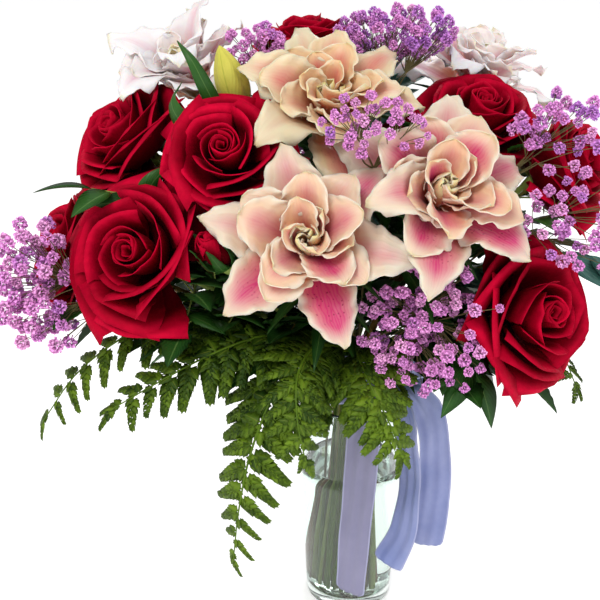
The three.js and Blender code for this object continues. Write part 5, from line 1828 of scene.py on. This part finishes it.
def make_vase():
    rim = [(VASE_RIM - 0.5 * WALL + 0.5 * WALL * math.cos(a), VASE_HEIGHT - 2 + 2 * math.sin(a))
           for a in np.linspace(0, math.pi, 9)]
    outer = [(VASE_FOOT + SLOPE * z, z) for z in np.linspace(3, VASE_HEIGHT - 2, 14)[:-1]]
    inner = [(wall_inside(z), z) for z in np.linspace(VASE_HEIGHT - 2, BASE + 5, 14)[1:]]
    foot = [(0, 0.8), (VASE_FOOT - 9, 0.8), (VASE_FOOT - 6, 0.1),
            (VASE_FOOT - 2.6, 0), (VASE_FOOT - 0.8, 0.9)]
    inside = wall_inside(BASE)
    floor = [(inside - 1.2, BASE + 1.6), (inside - 4.5, BASE + 0.2), (0, BASE)]
    piece = turned_piece("vase_glass", foot + outer + rim + inner + floor, "glass")
    return finish_piece(piece, "glass", "vase")


def make_water():
    low, high = wall_inside(BASE), wall_inside(WATER_LEVEL)
    bottom = [(0, BASE - INTO_GLASS), (low - 4.4, BASE + 0.1), (low - 1.1, BASE + 1.5)]
    sides = [(wall_inside(z) + INTO_GLASS, z) for z in np.linspace(BASE + 5, WATER_LEVEL, 10)]
    top = [(high - 1.2, WATER_LEVEL - 0.9), (high - 3, WATER_LEVEL - 1.2), (0, WATER_LEVEL - 1.2)]
    piece = turned_piece("vase_water", bottom + sides + top, "water")
    return finish_piece(piece, "water", "water")


make_vase()
make_water()
print("vase height:", VASE_HEIGHT, "mm")

# %% [markdown]
# ## Strips of satin ribbon
#
# The ribbon is a 31 mm strip. Each tail and loop is a smooth line with the way its width lies at every
# point. Where it comes out of the knot it is gathered, so it becomes narrow and pleated there: the pleats
# keep its real width along the cloth. Fine waves run down the tails, and their ends are rounded. A cloth
# simulation could hang the tails too, but these have to lie as they do in the picture, so their lines are
# drawn.

# %% Strips of satin ribbon
RIBBON_WIDTH = 31.0
PLEATS = 3
TAILS = {
    "ribbon_tail_middle": (
        [(21, -33, 244), (12, -52, 238), (8, -61, 212), (5, -63, 160), (1, -64, 100), (-2, -64, 38)],
        [(1, 0.1, 0.3), (1, -0.1, 0), (0.97, -0.2, 0), (0.92, -0.35, 0), (0.86, -0.45, 0),
         (0.82, -0.52, 0)], 0.0),
    "ribbon_tail_right": (
        [(26, -33, 242), (40, -52, 232), (46, -58, 206), (51, -61, 160), (46, -68, 110), (32, -68, 74)],
        [(1, -0.1, 0.3), (0.8, -0.5, 0.1), (0.6, -0.8, 0), (0.5, -0.86, 0), (0.62, -0.78, 0.1),
         (0.85, -0.4, 0.2)], 1.0),
    "ribbon_tail_far_right": (
        [(29, -29, 243), (55, -37, 238), (71, -36, 212), (78, -36, 164), (78, -38, 116), (73, -40, 76)],
        [(0.8, 0.5, 0.2), (0.9, 0.4, 0), (0.9, 0.4, 0), (0.95, 0.2, 0), (1, 0.1, 0), (1, 0, 0)], 0.9),
}
LOOPS = {
    "ribbon_loop_left": (
        [(19, -32, 248), (0, -46, 262), (-26, -52, 262), (-32, -46, 250), (-8, -41, 246), (18, -30, 245)],
        [(0.1, 0.3, 1), (0.1, 0.4, 1), (0, 0.4, 1), (0, 0.3, 1), (0, 0.3, 1), (0.1, 0.3, 1)], 0.3),
    "ribbon_loop_right": (
        [(28, -28, 250), (48, -34, 264), (68, -24, 264), (72, -14, 254), (52, -18, 248), (28, -25, 247)],
        [(0.2, 0.2, 1)] * 6, 0.6),
}


def strip_piece(name, points, widths, tone, gathers, rows=90, cols=25):
    """A strip gathered at its start, or at both ends, with pleats that take up what it loses in width."""
    line = smooth_line(points, rows)
    spread = smooth_line(widths, rows)
    lengths = travelled(line)
    v = lengths / lengths[-1]
    course = np.gradient(line, axis=0)
    u = np.linspace(-1, 1, cols)
    grid = np.zeros((rows, cols, 3))
    for i in range(rows):
        along = unit(course[i])
        side = unit(spread[i] - along * (spread[i] @ along))
        face = np.cross(along, side)
        near = min(v[i], 1 - v[i]) if gathers == 2 else v[i]
        share = min(1.0, 0.25 + 3 * near)
        spare = math.sqrt(max(0.0, (1 / share ** 1.25 - 1)))
        pleat = RIBBON_WIDTH / (2 * math.pi * PLEATS) * spare * share * 0.9
        wave = pleat * np.sin(PLEATS * math.pi * u + 0.4) + 0.7 * np.sin(6.6 * math.pi * v[i] + 1.5 * u)
        wave = wave + 1.1 * np.sin(2.6 * math.pi * u + 2.5 * v[i] + points[0][0]) * (1.1 - 0.7 * v[i])
        trim = min(1.0, max(0.0, (v[i] - 0.955) / 0.045)) if gathers == 1 else 0.0
        half = 0.5 * RIBBON_WIDTH * share * (0.62 + 0.38 * math.sqrt(1 - trim ** 3))
        grid[i] = line[i] + np.outer(u * half, side) + np.outer(wave, face)
    sheets = Sheets()
    sheets.add(grid, tone=tone)
    piece = sheet_piece(name, sheets, "ribbon", 0.3)
    flat_widths = np.linalg.norm(np.diff(grid, axis=1), axis=2).sum(axis=1)
    flat_lengths = np.linalg.norm(np.diff(grid, axis=0), axis=2).sum(axis=0)
    finish_piece(piece, "ribbon", "ribbon")
    return piece, float(flat_widths.mean()) * MM, float(flat_lengths.mean()) * MM


print("free strips:", len(TAILS) + len(LOOPS))

# %% [markdown]
# ## Band and knot
#
# The band is the strip wound round the stems, so it is one closed sheet with folds all round and a slight
# waist. The knot is a bead with creases that run towards its middle. Both are formulas of the angle,
# because their folds repeat.

# %% Band and knot
KNOT = (23, -28, 246)
KNOT_HALF_LENGTH = 9.8
BAND_RADIUS, BAND_FOOT, BAND_HEIGHT = 32.6, 232, 30


def make_band():
    """Three turns of the strip round the stems, folded and a little uneven."""
    s = np.linspace(0, 2 * np.pi, 97)[None, :]
    v = np.linspace(0, 1, 15)[:, None]
    fold = 0.9 * np.sin(v * np.pi * 5 + 0.6 * np.sin(2 * s)) + 0.5 * np.sin(9 * s + 5 * v)
    radius = BAND_RADIUS + fold - 1.2 * np.sin(np.pi * v)
    height = BAND_FOOT + BAND_HEIGHT * v + 0.6 * np.sin(3 * s)
    grid = np.stack([radius * np.cos(s), radius * np.sin(s), height], axis=-1)
    sheets = Sheets()
    sheets.add(grid[:, :-1], tone=0.3, closed=True)
    piece = sheet_piece("ribbon_band", sheets, "ribbon", 0.5)
    return finish_piece(piece, "ribbon", "ribbon")


def make_knot(around=64):
    """The wrapped middle of the bow, with the creases that run towards its waist."""
    place = frame_at(np.array(KNOT), unit((0.3, 0, 1)))
    s = np.linspace(0, 2 * np.pi, around, endpoint=False)[None, :]
    v = np.linspace(0.02, 0.98, 21)[:, None]
    swell = np.sin(np.pi * v)
    radius = 9.6 * swell ** 0.45 * (1 - 0.12 * swell ** 4) + 0.45 * np.sin(9 * s + 6 * v)
    grid = np.stack([radius * np.cos(s), 0.85 * radius * np.sin(s), 20 * (v - 0.5) + 0 * s], axis=-1)
    sheets = Sheets()
    sheets.add(in_frame(place, grid), tone=0.4, closed=True)
    first = sheets.count
    ends = np.array([[0, 0, -KNOT_HALF_LENGTH], [0, 0, KNOT_HALF_LENGTH]])
    sheets.points.append(in_frame(place, ends))
    sheets.uv.append(np.array([[0.5, 0.0], [0.5, 1.0]]))
    for key in sheets.values:
        sheets.values[key].append(np.array([0.4, 0.4]))
    last = first - around
    sheets.faces += [[(k + 1) % around, k, first] for k in range(around)]
    sheets.faces += [[last + k, last + (k + 1) % around, first + 1] for k in range(around)]
    piece = sheet_piece("ribbon_knot", sheets, "ribbon", 0)
    return finish_piece(piece, "ribbon", "ribbon")


make_band()
make_knot()
print("band radius:", BAND_RADIUS, "mm")

# %% [markdown]
# ## Hang the tails and loops
#
# The flat sizes are measured over the finished sheet, across its rows for the width and along for the
# length, so that they are true to what is shown.

# %% Hang the tails and loops
for name, (points, widths, tone) in {**TAILS, **LOOPS}.items():
    gathers = 2 if name in LOOPS else 1
    piece, width, length = strip_piece(name, points, widths, tone, gathers)
    print(name, "is", round(length / MM), "mm long")

# %% [markdown]
# ## Clear away and finish
#
# The shapes that were copied have done their work and are removed, and the triangles of all that is
# shown are counted.

# %% Clear away and finish
for shape in SHAPES.values():
    bpy.data.objects.remove(shape)
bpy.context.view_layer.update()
meshes = [piece.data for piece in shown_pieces() if piece.type == "MESH"]
print("triangles:", sum(len(polygon.vertices) - 2 for mesh in meshes for polygon in mesh.polygons))
